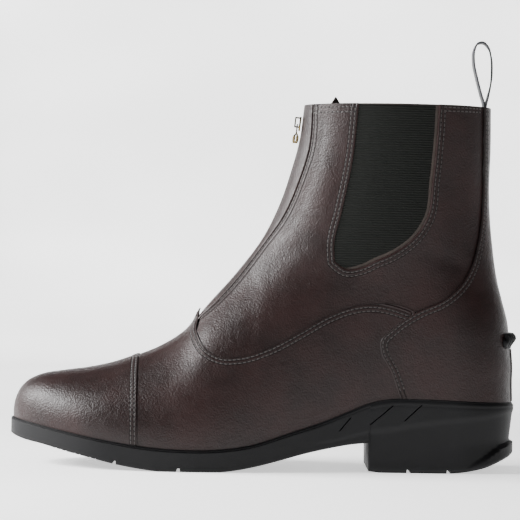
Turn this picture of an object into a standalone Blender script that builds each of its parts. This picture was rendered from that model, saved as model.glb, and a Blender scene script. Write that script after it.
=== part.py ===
"""Front-zip paddock boot for the left foot, standing on its sole.

The toe points to -X, the lateral side faces -Y and +Z is up, in metres. The origin is on the floor, at
the middle of the sole's length. Every leather piece follows one surface, skin(): rings run round the
boot from the feather line, where the upper meets the sole, to the collar, and each ring's width comes
from the last's own sections.
"""

from collections import namedtuple

import bmesh
import bpy
import numpy as np
from mathutils import Matrix

# Driving dimensions of the last and the sole
SOLE_LENGTH = 0.280
BALL_WIDTH = 0.096
COLLAR_HEIGHT = 0.201
COLLAR_HALF_WIDTH = 0.032
SEAT_HEIGHT = 0.040
BREAST_HEIGHT = 0.0162
BREAST_PLACE = 0.199  # from the toe tip to the front of the heel
TOE_SPRING = 0.016
HEEL_BEVEL = 0.009
TOE_ROUND = 0.058  # length over which the plan closes to the toe tip
HEEL_ROUND = 0.034
TOE_TIP_SHIFT = 0.0055  # the toe tip lies this far to the medial side
FEATHER_INSET = 0.0018  # the outer leather stands this far inside the sole's edge

# Walls and clearances
GAP = 0.0003
UPPER_WALL = 0.0020
OVERLAY = 0.0010  # leather laid over the upper: vamp, counter, plackets
CAP_RISE = 0.0006  # the toe cap stands this much above the vamp
GORE_THICKNESS = 0.0012
GORE_DEPTH = 0.0005  # the elastic lies this far under the leather
INSOLE_THICKNESS = 0.0030
INSOLE_INSET = 0.0066
GUARD_THICKNESS = 0.0010
GUARD_GAP = 0.0009
GUARD_TIP_PLACE = 0.0160  # of the guard's pointed top, behind the collar's front
GUARD_TIP_HALF = 0.0068
GUARD_TIP_TALL = 0.0062

# Sole side and tread
SOLE_WAIST = 0.0024
GROOVE_DEPTH = 0.0022
GROOVE_WIDTH = 0.0030
SLASH_DEPTH = 0.0014
SLASH_WIDTH = 0.0017
TREAD_MARGIN = 0.011

# Zip
ZIP_SLOT_HALF = 0.0050
ZIP_TEETH_HALF = 0.0024
ZIP_TEETH_HEIGHT = 0.0022
ZIP_TAPE = 0.0010
ZIP_FOOT_HEIGHT = 0.0935
PLACKET_EDGE = 0.0034  # half the gap between the two plackets
SLIDER_DROP = 0.0065  # from the collar down to the slider's top
SLIDER_LENGTH = 0.0080
SLIDER_WIDTH = 0.0080
SLIDER_PLATE = 0.0010
BRIDGE_HALF = 0.0012
BRIDGE_HEIGHT = 0.0026
BRIDGE_LENGTH = 0.0062
BRIDGE_WALL = 0.0008
PULL_LENGTH = 0.0105
PULL_HALF = 0.0025
PULL_THICKNESS = 0.0007
PULL_BAR = 0.0003  # radius of the bar in the bridge
PULL_TURN = 0.60  # the tab is twisted this far to the lateral side, in radians

# Back pieces
LOOP_HEIGHT = 0.0365  # above the collar
LOOP_DEPTH = 0.0106
LOOP_TAPE = 0.0010
LOOP_HALF = 0.0050
LOOP_TAIL = 0.0120
LOOP_EYE = 0.0060  # the tape's two layers part this far above the collar
LOOP_LEAN = 0.0014  # the loop stands this much behind its tail
LOOP_TEARDROP = 1.25  # evens the teardrop's widest place out to the full depth
SPUR_REST_HEIGHT = 0.0720
SPUR_REST_TALL = 0.0082
SPUR_REST_PROUD = 0.0034
SPUR_REST_HALF = 0.0150

# How finely the pieces are faceted
RING_POINTS = 48
RING_COUNT = 16
RING_CROWDING = 1.3  # above 1 the rings are closer together near the sole
BREAST_STEP = 0.0004  # share of the length over which the underside steps down to the heel
FEATHER_BEND = (-0.040, 0.0, 0.030)  # shares of the length from the heel's breast
NUDGE = 1e-3  # step in ring parameters for taking a normal

Edge = namedtuple("Edge", "along lateral medial lateral_bulge medial_bulge squareness")
# along: share of the sole's length from the toe. Edges: shares of the ball width, before the ends close.
# Bulges: how far the upper swells past its own foot, in metres. Squareness: exponent of the section.
PLAN = [
    Edge(0.00, 0.310, 0.395, 0.0008, 0.0008, 2.9),
    Edge(0.10, 0.375, 0.440, 0.0010, 0.0010, 2.8),
    Edge(0.20, 0.438, 0.482, 0.0010, 0.0010, 2.4),
    Edge(0.30, 0.490, 0.500, 0.0008, 0.0006, 2.1),
    Edge(0.36, 0.500, 0.486, 0.0008, 0.0008, 2.0),
    Edge(0.44, 0.478, 0.425, 0.0010, 0.0020, 1.9),
    Edge(0.52, 0.434, 0.350, 0.0014, 0.0045, 1.9),
    Edge(0.60, 0.390, 0.295, 0.0016, 0.0060, 2.0),
    Edge(0.68, 0.358, 0.275, 0.0014, 0.0055, 2.2),
    Edge(0.76, 0.346, 0.288, 0.0010, 0.0035, 2.4),
    Edge(0.84, 0.345, 0.315, 0.0008, 0.0016, 2.6),
    Edge(0.92, 0.342, 0.332, 0.0006, 0.0008, 2.6),
    Edge(1.00, 0.338, 0.338, 0.0005, 0.0005, 2.6),
]

SideRow = namedtuple("SideRow", "along up")
# The boot's outline from the side, in shares of the sole's length and the collar's height
FRONT_LINE = [
    SideRow(0.0075, 0.159),
    SideRow(0.0115, 0.180),
    SideRow(0.0200, 0.2035),
    SideRow(0.0336, 0.223),
    SideRow(0.0575, 0.2395),
    SideRow(0.105, 0.2525),
    SideRow(0.1525, 0.262),
    SideRow(0.2004, 0.277),
    SideRow(0.2475, 0.300),
    SideRow(0.295, 0.328),
    SideRow(0.341, 0.369),
    SideRow(0.393, 0.454),
    SideRow(0.4496, 0.545),
    SideRow(0.4964, 0.636),
    SideRow(0.527, 0.726),
    SideRow(0.548, 0.815),
    SideRow(0.5646, 0.9055),
    SideRow(0.573, 1.0),
]
BACK_LINE = [
    SideRow(0.9925, 0.240),
    SideRow(0.9925, 0.293),
    SideRow(0.989, 0.345),
    SideRow(0.982, 0.418),
    SideRow(0.972, 0.470),
    SideRow(0.963, 0.517),
    SideRow(0.957, 0.560),
    SideRow(0.951, 0.622),
    SideRow(0.945, 0.706),
    SideRow(0.943, 0.781),
    SideRow(0.9446, 0.880),
    SideRow(0.944, 1.0),
]
FEATHER_LINE = [  # up: share of the seat height
    SideRow(0.000, 0.630),
    SideRow(0.066, 0.550),
    SideRow(0.189, 0.402),
    SideRow(0.262, 0.328),
    SideRow(0.350, 0.288),
    SideRow(0.421, 0.300),
    SideRow(0.478, 0.355),
    SideRow(0.555, 0.525),
    SideRow(0.613, 0.660),
    SideRow(0.671, 0.825),
    SideRow(0.709, 0.935),
    SideRow(0.748, 0.992),
    SideRow(0.806, 1.000),
    SideRow(0.864, 0.990),
    SideRow(0.925, 0.970),
    SideRow(1.000, 0.945),
]

Lift = namedtuple("Lift", "along toe arch bevel")
# The sole's underside: shares of the toe spring, the breast height and the heel bevel
UNDERSIDE = [
    Lift(0.000, 1.000, 0.0, 0.0),
    Lift(0.018, 0.900, 0.0, 0.0),
    Lift(0.071, 0.740, 0.0, 0.0),
    Lift(0.118, 0.560, 0.0, 0.0),
    Lift(0.168, 0.380, 0.0, 0.0),
    Lift(0.214, 0.205, 0.0, 0.0),
    Lift(0.261, 0.075, 0.0, 0.0),
    Lift(0.300, 0.000, 0.0, 0.0),
    Lift(0.420, 0.000, 0.0, 0.0),
    Lift(0.450, 0.000, 0.06, 0.0),
    Lift(0.490, 0.000, 0.19, 0.0),
    Lift(0.536, 0.000, 0.39, 0.0),
    Lift(0.582, 0.000, 0.61, 0.0),
    Lift(0.629, 0.000, 0.79, 0.0),
    Lift(0.675, 0.000, 0.93, 0.0),
    Lift(0.712, 0.000, 1.00, 0.0),
]
HEEL_UNDERSIDE = [
    Lift(0.708, 0.0, 0.0, 0.10),
    Lift(0.735, 0.0, 0.0, 0.0),
    Lift(0.872, 0.0, 0.0, 0.0),
    Lift(0.907, 0.0, 0.0, 0.10),
    Lift(0.930, 0.0, 0.0, 0.25),
    Lift(0.957, 0.0, 0.0, 0.51),
    Lift(0.980, 0.0, 0.0, 0.78),
    Lift(1.000, 0.0, 0.0, 1.0),
]

Level = namedtuple("Level", "height forepart flank back")
# The sole's side from its bottom edge up: insets, in shares of the waist's depth
SOLE_SIDE = [
    Level(0.00, 0.60, 0.50, 0.40),
    Level(0.08, 0.15, 0.15, 0.00),
    Level(0.20, 0.05, 0.15, 0.30),
    Level(0.26, 0.05, 0.22, 0.85),
    Level(0.38, 0.03, 0.34, 1.00),
    Level(0.50, 0.02, 0.40, 0.60),
    Level(0.62, 0.00, 0.40, 0.25),
    Level(0.70, 0.00, 0.05, 0.12),
    Level(0.86, 0.00, 0.00, 0.10),
    Level(1.00, 0.12, 0.12, 0.36),
]

# Seams as seen from the side, in shares of the sole's length and the collar's height
CAP_EDGE = [SideRow(0.256, 0.305), SideRow(0.258, 0.240), SideRow(0.260, 0.163), SideRow(0.262, 0.078)]
VAMP_PEAK = SideRow(0.3795, 0.430)
VAMP_EDGE = [
    SideRow(0.367, 0.378),
    SideRow(0.383, 0.336),
    SideRow(0.417, 0.308),
    SideRow(0.456, 0.309),
    SideRow(0.514, 0.336),
    SideRow(0.571, 0.379),
    SideRow(0.629, 0.425),
    SideRow(0.677, 0.449),
    SideRow(0.720, 0.454),
    SideRow(0.757, 0.444),
    SideRow(0.783, 0.432),
]
COUNTER_EDGE = [
    SideRow(0.768, 0.200),
    SideRow(0.748, 0.275),
    SideRow(0.729, 0.325),
    SideRow(0.727, 0.353),
    SideRow(0.752, 0.393),
    SideRow(0.800, 0.438),
    SideRow(0.850, 0.470),
    SideRow(0.892, 0.525),
    SideRow(0.920, 0.630),
    SideRow(0.929, 0.745),
    SideRow(0.929, 0.870),
    SideRow(0.928, 0.999),
]
VAMP_END = 0.432  # height, as a share of the collar's, at which the vamp runs under the counter
GORE_FRONT = [
    SideRow(0.636, 0.570),
    SideRow(0.634, 0.612),
    SideRow(0.648, 0.708),
    SideRow(0.667, 0.845),
    SideRow(0.677, 0.999),
]
GORE_FOOT = [SideRow(0.636, 0.570), SideRow(0.658, 0.549), SideRow(0.690, 0.555), SideRow(0.715, 0.572)]
GORE_REAR = [
    SideRow(0.715, 0.572),
    SideRow(0.745, 0.590),
    SideRow(0.791, 0.637),
    SideRow(0.816, 0.691),
    SideRow(0.826, 0.793),
    SideRow(0.833, 0.903),
    SideRow(0.836, 0.999),
]
PLACKET_SEAM = [
    SideRow(0.398, 0.444),
    SideRow(0.443, 0.513),
    SideRow(0.496, 0.611),
    SideRow(0.537, 0.694),
    SideRow(0.566, 0.790),
    SideRow(0.584, 0.875),
    SideRow(0.590, 0.999),
]
SLASHES = [  # upper and lower end of each slash in the sole's side, in shares of length and seat height
    (SideRow(0.672, 0.745), SideRow(0.651, 0.568)),
    (SideRow(0.754, 0.915), SideRow(0.710, 0.652)),
    (SideRow(0.810, 0.932), SideRow(0.777, 0.712)),
]
EDGE_GROOVES = (0.217, 0.341, 0.786, 0.864)  # tread grooves that reach the sole's edge, along its length
INNER_GROOVES = (0.13, 0.16, 0.19, 0.25, 0.28, 0.31, 0.372, 0.403, 0.434, 0.757, 0.825)


# Curves

def smooth(knots, values, at):
    """Cubic through the knots, whose slope at each is taken from its two neighbours."""
    knots, values = np.asarray(knots, float), np.asarray(values, float)
    slopes = np.gradient(values, knots)
    i = np.clip(np.searchsorted(knots, at, side="right") - 1, 0, len(knots) - 2)
    span = knots[i + 1] - knots[i]
    t = np.clip((at - knots[i]) / span, 0.0, 1.0)
    left = (1 + 2 * t) * (1 - t) ** 2 * values[i] + t * (1 - t) ** 2 * span * slopes[i]
    right = t * t * (3 - 2 * t) * values[i + 1] + t * t * (t - 1) * span * slopes[i + 1]
    return left + right


def column(rows, name):
    return np.array([getattr(row, name) for row in rows])


def read(rows, name, along):
    """A table's column at these shares of the length."""
    return smooth(column(rows, "along"), column(rows, name), along)


def run_of(points):
    """Length along a polyline up to each of its points."""
    return np.concatenate([[0.0], np.cumsum(np.linalg.norm(np.diff(points, axis=0), axis=1))])


def line_through(points, count=240):
    """Points evenly spaced by length on a smooth curve through the given ones."""
    points = np.asarray(points, float)
    knots = run_of(points)
    at = np.linspace(0.0, knots[-1], count)
    dense = np.stack([smooth(knots, c, at) for c in points.T], axis=-1)
    run = run_of(dense)
    even = np.linspace(0.0, run[-1], count)
    return np.stack([np.interp(even, run, c) for c in dense.T], axis=-1)


def along_line(line, share):
    """Points at these shares of an evenly spaced line."""
    at = np.clip(share, 0.0, 1.0) * (len(line) - 1)
    return np.stack([np.interp(at, np.arange(len(line)), c) for c in line.T], axis=-1)


def ease(t):
    """Rises smoothly from 0 to 1 as t goes from 0 to 1."""
    t = np.clip(t, 0.0, 1.0)
    return t * t * (3 - 2 * t)


def round_end(distance, length):
    """Closes a width to zero at an end, as a quarter of an ellipse does."""
    t = np.clip(distance / length, 0.0, 1.0)
    return np.sqrt(1 - (1 - t) ** 2)


# The last

TOE_X = -SOLE_LENGTH / 2
HEEL_X = SOLE_LENGTH / 2
BREAST_X = TOE_X + BREAST_PLACE


def side_point(row, height=COLLAR_HEIGHT):
    return np.array([TOE_X + row.along * SOLE_LENGTH, row.up * height])


def side_line(rows):
    return line_through([side_point(row) for row in rows])


def share_of(x):
    return (x - TOE_X) / SOLE_LENGTH


def feather_height(x):
    """Height of the joint between sole and upper."""
    return SEAT_HEIGHT * read(FEATHER_LINE, "up", share_of(x))


def underside_height(x):
    """Height of the sole's underside, which steps down at the heel's breast."""
    share = share_of(x)
    fore = TOE_SPRING * read(UNDERSIDE, "toe", share) + BREAST_HEIGHT * read(UNDERSIDE, "arch", share)
    heel = HEEL_BEVEL * read(HEEL_UNDERSIDE, "bevel", share)
    return np.maximum(np.where(x < BREAST_X, fore, heel), 0.0)


def centre_shift(x):
    """How far the middle line lies to the medial side: all of the shift at the toe, none past the instep."""
    return TOE_TIP_SHIFT * (1 - ease((share_of(x) - 0.05) / 0.36))


def foot_edge(x, side, inset):
    """Distance of the plan's edge from y = 0 on one side, before the ends close."""
    name = "lateral" if side < 0 else "medial"
    return BALL_WIDTH * read(PLAN, name, share_of(x)) - inset


def plan_point(share, side, inset):
    """A point of the sole's outline, moved inwards by inset. side is -1 for lateral, 1 for medial."""
    low, high = TOE_X + inset, HEEL_X - inset
    x = low + share * (high - low)
    ends = round_end(x - low, TOE_ROUND) * round_end(high - x, HEEL_ROUND)
    shift = centre_shift(x)
    return x, shift + side * (foot_edge(x, side, inset) - side * shift) * ends


SEAT_GAP_LINE = 1.2 * GAP  # the upper and its overlays stand this far above the sole's top
FRONT = line_through(
    [[TOE_X + FEATHER_INSET, feather_height(TOE_X + FEATHER_INSET) + SEAT_GAP_LINE]]
    + [side_point(row) for row in FRONT_LINE]
)
FRONT[:, 0] = np.maximum.accumulate(FRONT[:, 0]) + 1e-8 * np.arange(len(FRONT))
BACK = line_through(
    [[HEEL_X - FEATHER_INSET, feather_height(HEEL_X - FEATHER_INSET) + SEAT_GAP_LINE]]
    + [side_point(row) for row in BACK_LINE]
)


def side_map(share, v):
    """Where a ring's point lies seen from the side: share 0 is the front line, 1 the back line."""
    front, back = along_line(FRONT, v), along_line(BACK, v)
    foot_x = FRONT[0, 0] + share * (BACK[0, 0] - FRONT[0, 0])
    foot = np.stack([foot_x, feather_height(foot_x) + SEAT_GAP_LINE], axis=-1)
    foot_chord = FRONT[0] + share[..., None] * (BACK[0] - FRONT[0])
    sag = (1 - v[..., None]) * (foot - foot_chord)
    return front + share[..., None] * (back - front) + sag


def ring_share(theta):
    return (1 - np.cos(theta)) / 2


def skin_base(theta, v):
    """The boot's outer surface. theta runs round a ring from the front line over the lateral side."""
    theta, v = np.broadcast_arrays(np.asarray(theta, float), np.asarray(v, float))
    share = ring_share(theta)
    x, z = np.moveaxis(side_map(share, v), -1, 0)
    lateral = np.sin(theta) > 0
    top = np.interp(x, FRONT[:, 0], FRONT[:, 1])
    bottom = feather_height(x) + SEAT_GAP_LINE
    up = np.clip((z - bottom) / np.maximum(top - bottom, 1e-6), 0.0, 1.0)
    up = np.where(share == 0.0, 1.0, up)
    swell = 1 - (1 - np.clip(up / 0.3, 0.0, 1.0)) ** 2
    back = np.interp(z, BACK[:, 1], BACK[:, 0])
    front = np.interp(z, FRONT[:, 1], FRONT[:, 0])
    arch = np.sqrt(1 - up ** read(PLAN, "squareness", share_of(x)))
    arch = np.where(v == 0.0, 1.0, arch)
    ends = round_end(x - FRONT[0, 0], TOE_ROUND) * round_end(back - x, HEEL_ROUND)
    across = np.clip((x - front) / (back - front), 0.0, 1.0)
    ellipse = 2 * np.sqrt(across * (1 - across))
    shaft = ease((z / COLLAR_HEIGHT - 0.36) / 0.30)
    shift = centre_shift(x) * (1 - shaft)
    widths = []
    for side, bulge in ((-1, "lateral_bulge"), (1, "medial_bulge")):
        edge = foot_edge(x, side, FEATHER_INSET) + swell * read(PLAN, bulge, share_of(x)) - side * shift
        widths.append(edge * arch * ends * (1 - shaft) + COLLAR_HALF_WIDTH * ellipse * shaft)
    y = np.where(lateral, shift - widths[0], shift + widths[1])
    return np.stack([x, y, z], axis=-1)


def skin(theta, v, offset):
    """The outer surface moved outwards by offset. At the feather line and the collar it moves level."""
    theta, v = np.broadcast_arrays(np.asarray(theta, float), np.asarray(v, float))
    base = skin_base(theta, v)
    round_way = skin_base(theta + NUDGE, v) - skin_base(theta - NUDGE, v)
    up_way = skin_base(theta, np.clip(v + NUDGE, 0, 1)) - skin_base(theta, np.clip(v - NUDGE, 0, 1))
    normal = np.cross(round_way, up_way)
    free = ease(v / 0.03) * ease((1 - v) / 0.03)
    normal /= np.linalg.norm(normal, axis=-1, keepdims=True)
    normal[..., 2] *= free
    normal /= np.linalg.norm(normal, axis=-1, keepdims=True)
    moved = base + np.asarray(offset)[..., None] * normal
    follow = feather_height(moved[..., 0]) - feather_height(base[..., 0])
    moved[..., 2] += follow * (1 - ease(v / 0.03))
    return moved


def front_v(height):
    """The ring whose front point is at this height."""
    return np.interp(height, FRONT[:, 1], np.linspace(0.0, 1.0, len(FRONT)))


# Solids

def clear_scene():
    for old in list(bpy.data.objects):
        bpy.data.objects.remove(old)


def material(name, colour, roughness, metallic=0.0):
    made = bpy.data.materials.new(name)
    made.use_nodes = True
    shader = made.node_tree.nodes["Principled BSDF"]
    shader.inputs["Base Color"].default_value = (*colour, 1.0)
    shader.inputs["Roughness"].default_value = roughness
    shader.inputs["Metallic"].default_value = metallic
    return made


def make_object(name, points, faces, finish):
    """A mesh object from points and faces, with its normals facing out."""
    mesh = bpy.data.meshes.new(name)
    mesh.from_pydata([tuple(map(float, p)) for p in points], [], faces)
    work = bmesh.new()
    work.from_mesh(mesh)
    bmesh.ops.remove_doubles(work, verts=work.verts, dist=1e-6)
    bmesh.ops.recalc_face_normals(work, faces=work.faces)
    work.to_mesh(mesh)
    work.free()
    mesh.shade_smooth()
    mesh.set_sharp_from_angle(angle=0.6)
    if finish:
        mesh.materials.append(finish)
    made = bpy.data.objects.new(name, mesh)
    bpy.context.scene.collection.objects.link(made)
    return made


def grid_faces(rows, columns, start, closed):
    """Triangles of a grid whose points are numbered row by row. closed joins the last row to the first."""
    faces = []
    for i in range(rows if closed else rows - 1):
        for j in range(columns - 1):
            a, b = start + i * columns + j, start + (i + 1) % rows * columns + j
            faces += [(a, b, b + 1), (a, b + 1, a + 1)]
    return faces


def sheet_solid(name, inner, outer, finish, closed=False):
    """The solid between two grids of points. closed means that the first index runs round a ring."""
    rows, columns = inner.shape[:2]
    size = rows * columns
    points = np.concatenate([inner.reshape(-1, 3), outer.reshape(-1, 3)])
    faces = grid_faces(rows, columns, 0, closed) + grid_faces(rows, columns, size, closed)
    for i in range(rows if closed else rows - 1):
        a, b = i * columns, (i + 1) % rows * columns
        for j in (0, columns - 1):
            faces.append((a + j, b + j, b + j + size, a + j + size))
    if not closed:
        for i in (0, rows - 1):
            for j in range(columns - 1):
                a = i * columns + j
                faces.append((a, a + 1, a + 1 + size, a + size))
    return make_object(name, points, faces, finish)


def leather_piece(name, places, low, high, finish, raised=0.0):
    """An overlay: the solid over these ring places, between two offsets. raised lifts points straight up."""
    up = np.zeros(places.shape[:2] + (3,))
    up[..., 2] = raised
    inner = skin(places[..., 0], places[..., 1], low) + up
    outer = skin(places[..., 0], places[..., 1], high) + up
    return sheet_solid(name, inner, outer, finish)


def swept_solid(name, sections, finish, closed=False):
    """Joins equal closed sections, shaped (sections, points, 3), and caps the ends unless it is a ring."""
    count, size = sections.shape[:2]
    faces = []
    for i in range(count if closed else count - 1):
        for j in range(size):
            a, b = i * size, (i + 1) % count * size
            k = (j + 1) % size
            faces.append((a + j, a + k, b + k, b + j))
    if not closed:
        faces += [tuple(range(size)), tuple(range((count - 1) * size, count * size))]
    return make_object(name, sections.reshape(-1, 3), faces, finish)


def side_prism(name, outline, low_y, high_y):
    """A cutter: an outline seen from the side, run from one y to another."""
    sections = [[(x, y, z) for x, z in outline] for y in (low_y, high_y)]
    return swept_solid(name, np.array(sections), None)


def moved_line(line, distance):
    """A line seen from the side, moved to its right by a distance."""
    way = np.gradient(line, axis=0)
    way /= np.linalg.norm(way, axis=1, keepdims=True)
    return line + distance * np.stack([way[:, 1], -way[:, 0]], axis=-1)


def box_points(low, high):
    """The eight corners of a box, as two sections for swept_solid."""
    (x0, y0, z0), (x1, y1, z1) = low, high
    return np.array([[(x, y0, z0), (x, y1, z0), (x, y1, z1), (x, y0, z1)] for x in (x0, x1)])


def combine(target, tool, operation):
    """A Boolean that is applied at once, after which the tool is gone."""
    modifier = target.modifiers.new(operation.lower(), "BOOLEAN")
    modifier.operation = operation
    modifier.object = tool
    bpy.context.view_layer.objects.active = target
    bpy.ops.object.modifier_apply(modifier=modifier.name)
    bpy.data.objects.remove(tool)


# Pieces

UPPER_FACE = -(OVERLAY + GAP)  # the upper's own surface, under the overlays
LINING_FACE = UPPER_FACE - UPPER_WALL


def ring_thetas():
    """Angles of a ring's points: even, with more where the feather line bends at the front of the seat."""
    breast = (BREAST_PLACE - FEATHER_INSET) / (SOLE_LENGTH - 2 * FEATHER_INSET)
    bend = np.arccos(1 - 2 * (breast + np.array(FEATHER_BEND)))
    even = np.linspace(0.0, 2 * np.pi, RING_POINTS, endpoint=False)
    return np.sort(np.concatenate([even, bend, 2 * np.pi - bend]))


def shell(name, low, high, finish):
    """The whole boot's skin between two offsets, on the same facets as the upper."""
    theta = ring_thetas()[:, None]
    v = np.linspace(0.0, 1.0, RING_COUNT)[None, :] ** RING_CROWDING
    return sheet_solid(name, skin(theta, v, low), skin(theta, v, high), finish, closed=True)


def overlay(name, outline, high, finish, low_y=-BALL_WIDTH, high_y=BALL_WIDTH, low=-OVERLAY):
    """The part of a shell that lies inside an outline seen from the side."""
    made = shell(name, low, high, finish)
    combine(made, side_prism("outline", outline, low_y, high_y), "INTERSECT")
    return made


def seam(rows, count, clear=0.0):
    """A seam as evenly spaced points seen from the side, moved to its right by clear."""
    return moved_line(along_line(side_line(rows), np.linspace(0.0, 1.0, count)), clear)


def outside(x, z):
    """A corner of an outline that lies clear of the boot, in shares of its length and collar height."""
    return np.array([[TOE_X + x * SOLE_LENGTH, z * COLLAR_HEIGHT]])


def gore_outline(clear):
    """The gore seen from the side, from the collar down its front edge and up its rear edge."""
    front = seam(GORE_FRONT, 8, -clear)
    foot = seam(GORE_FOOT, 6, -clear)
    rear = seam(GORE_REAR, 9, -clear)
    front_top = front[-1:] + (front[-1:] - front[-2:-1])
    rear_top = rear[-1:] + (rear[-1:] - rear[-2:-1])
    return np.concatenate([front_top, moved_line(front[::-1], -2 * clear), foot[1:-1], rear, rear_top])


def build_upper(leather):
    upper = shell("upper", LINING_FACE, UPPER_FACE, leather)
    combine(upper, side_prism("gore_window", gore_outline(0.0), -BALL_WIDTH, BALL_WIDTH), "DIFFERENCE")
    slot = box_points(
        (FRONT[0, 0], -ZIP_SLOT_HALF, ZIP_FOOT_HEIGHT),
        ((FRONT[-1, 0] + BACK[-1, 0]) / 2, ZIP_SLOT_HALF, 1.1 * COLLAR_HEIGHT),
    )
    combine(upper, swept_solid("zip_slot", slot, None), "DIFFERENCE")
    return upper


def build_gore(name, side, elastic):
    face = UPPER_FACE - GORE_DEPTH
    near, far = sorted((side * COLLAR_HALF_WIDTH / 3, side * BALL_WIDTH))
    return overlay(name, gore_outline(GAP), face, elastic, near, far, face - GORE_THICKNESS)


def build_toe_cap(leather):
    edge = seam(CAP_EDGE, 9)
    above, below = edge[:1] + (edge[:1] - edge[1:2]), edge[-1:] + (edge[-1:] - edge[-2:-1])
    outline = np.concatenate([above, edge, below, outside(-0.1, 0.0), outside(-0.1, 0.4)])
    return overlay("toe_cap", outline, CAP_RISE, leather)


def build_vamp(leather):
    """One piece from the toe cap back to the counter on both sides, peaked where it covers the zip's foot."""
    cap = seam(CAP_EDGE, 9, -GAP)
    cap = np.concatenate([cap[:1] + (cap[:1] - cap[1:2]), cap, cap[-1:] + (cap[-1:] - cap[-2:-1])])
    counter = seam(COUNTER_EDGE, 40, -GAP)
    counter = counter[counter[:, 1] < VAMP_END * COLLAR_HEIGHT]
    counter = np.concatenate([counter[:1] - (0.0, SEAT_HEIGHT / 4), counter])
    edge = seam(VAMP_EDGE, 17)[::-1]
    edge = edge[edge[:, 0] < counter[-1, 0] - 2 * GAP]
    peak = side_point(VAMP_PEAK)[None]
    over = np.concatenate([peak, outside(0.358, 0.44), outside(0.2, 0.4)])
    floor = np.array([[counter[0, 0], 0.0], [cap[-1, 0], 0.0]])
    return overlay("vamp", np.concatenate([counter, edge, over, cap, floor[::-1]]), 0.0, leather)


def build_counter(leather):
    """Counter and backstay in one: it wraps the heel and runs up the back to the collar."""
    edge = seam(COUNTER_EDGE, 26)
    edge = np.concatenate([edge[:1] - (0.0, SEAT_HEIGHT / 4), edge, edge[-1:] + (0.0, SEAT_HEIGHT / 4)])
    return overlay("counter", np.concatenate([edge, outside(1.1, 1.05), outside(1.1, 0.14)]), 0.0, leather)


def build_placket(name, side, leather):
    """The strip of leather along one side of the zip."""
    edge = seam(PLACKET_SEAM, 15)
    foot = side_point(VAMP_PEAK) + (0.0, 3 * GAP)
    edge = edge[edge[:, 1] > foot[1]]
    top = edge[-1:] + (0.0, SEAT_HEIGHT / 4)
    front = np.concatenate([outside(0.3, 1.05), outside(0.3, foot[1] / COLLAR_HEIGHT)])
    outline = np.concatenate([[(edge[0, 0], foot[1])], edge, top, front])
    near, far = sorted((side * PLACKET_EDGE, side * BALL_WIDTH))
    return overlay(name, outline, 0.0, leather, near, far)


def front_frame(height):
    """(point, outward direction) of the front line at a height, both seen from the side."""
    v = front_v(height)
    here = along_line(FRONT, np.asarray(v))
    way = along_line(FRONT, np.asarray(v + 0.01)) - along_line(FRONT, np.asarray(v - 0.01))
    way /= np.linalg.norm(way)
    return here, np.array([-way[1], way[0]])


def build_zip(brass):
    """Tape and closed teeth as one strip down the slot."""
    tape_low = LINING_FACE + GAP
    tape_high = tape_low + ZIP_TAPE
    edge, teeth = ZIP_SLOT_HALF - GAP, ZIP_TEETH_HALF
    ridge = tape_high + ZIP_TEETH_HEIGHT - ZIP_TAPE
    profile = [(-edge, tape_low), (edge, tape_low), (edge, tape_high), (teeth, tape_high)]
    profile += [(teeth, ridge), (-teeth, ridge), (-teeth, tape_high), (-edge, tape_high)]
    sections = []
    for height in np.linspace(ZIP_FOOT_HEIGHT + 2 * GAP - LINING_FACE, COLLAR_HEIGHT - GAP, 16):
        here, out = front_frame(height)
        sections.append([(here[0] + d * out[0], y, here[1] + d * out[1]) for y, d in profile])
    return swept_solid("zip_chain", np.array(sections), brass)


def slider_frame():
    """The slider's own axes where it sits: a point on the front line, its outward and its upward way."""
    here, out = front_frame(COLLAR_HEIGHT - SLIDER_DROP - SLIDER_LENGTH / 2)
    return here, out, np.array([out[1], -out[0]])


def from_slider(outward, y, upward):
    """A point given in the slider's axes, from the middle of its foot on the plackets."""
    here, out, up = slider_frame()
    spot = here + out * outward + up * upward
    return (spot[0], y, spot[1])


def slider_box(name, out, y, up, finish):
    """A box in the slider's axes, from (low, high) pairs."""
    sections = [
        [from_slider(o, b, u) for o, b in ((out[0], y[0]), (out[1], y[0]), (out[1], y[1]), (out[0], y[1]))]
        for u in up
    ]
    return swept_solid(name, np.array(sections), finish)


def pull_pivot():
    """Where the pull's bar sits in the bridge, as (out, up) in the slider's axes."""
    up = SLIDER_LENGTH / 2 - BRIDGE_LENGTH + BRIDGE_WALL + 3 * PULL_BAR
    return GAP + SLIDER_PLATE + (BRIDGE_HEIGHT - BRIDGE_WALL) / 2, up


def build_slider(brass):
    """Front plate with the bridge that carries the pull, standing on the plackets."""
    half, face = SLIDER_LENGTH / 2, GAP + SLIDER_PLATE
    wide, foot = SLIDER_WIDTH / 2, SLIDER_WIDTH / 3
    sections = []
    for up, reach in ((-half, foot), (-half / 3, wide), (half / 2, wide), (half, foot)):
        corners = ((GAP, -reach), (face, -reach + SLIDER_PLATE / 2), (face, reach - SLIDER_PLATE / 2), (GAP, reach))
        sections.append([from_slider(out, y, up) for out, y in corners])
    plate = swept_solid("zip_slider", np.array(sections), brass)
    crest, low = face + BRIDGE_HEIGHT, half - BRIDGE_LENGTH
    bridge = slider_box("bridge", (face - GAP, crest), (-BRIDGE_HALF, BRIDGE_HALF), (low, half - GAP), None)
    hole = slider_box(
        "bridge_hole",
        (face, crest - BRIDGE_WALL),
        (-2 * BRIDGE_HALF, 2 * BRIDGE_HALF),
        (low + BRIDGE_WALL, half - GAP - BRIDGE_WALL),
        None,
    )
    combine(bridge, hole, "DIFFERENCE")
    combine(plate, bridge, "UNION")
    return plate


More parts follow.
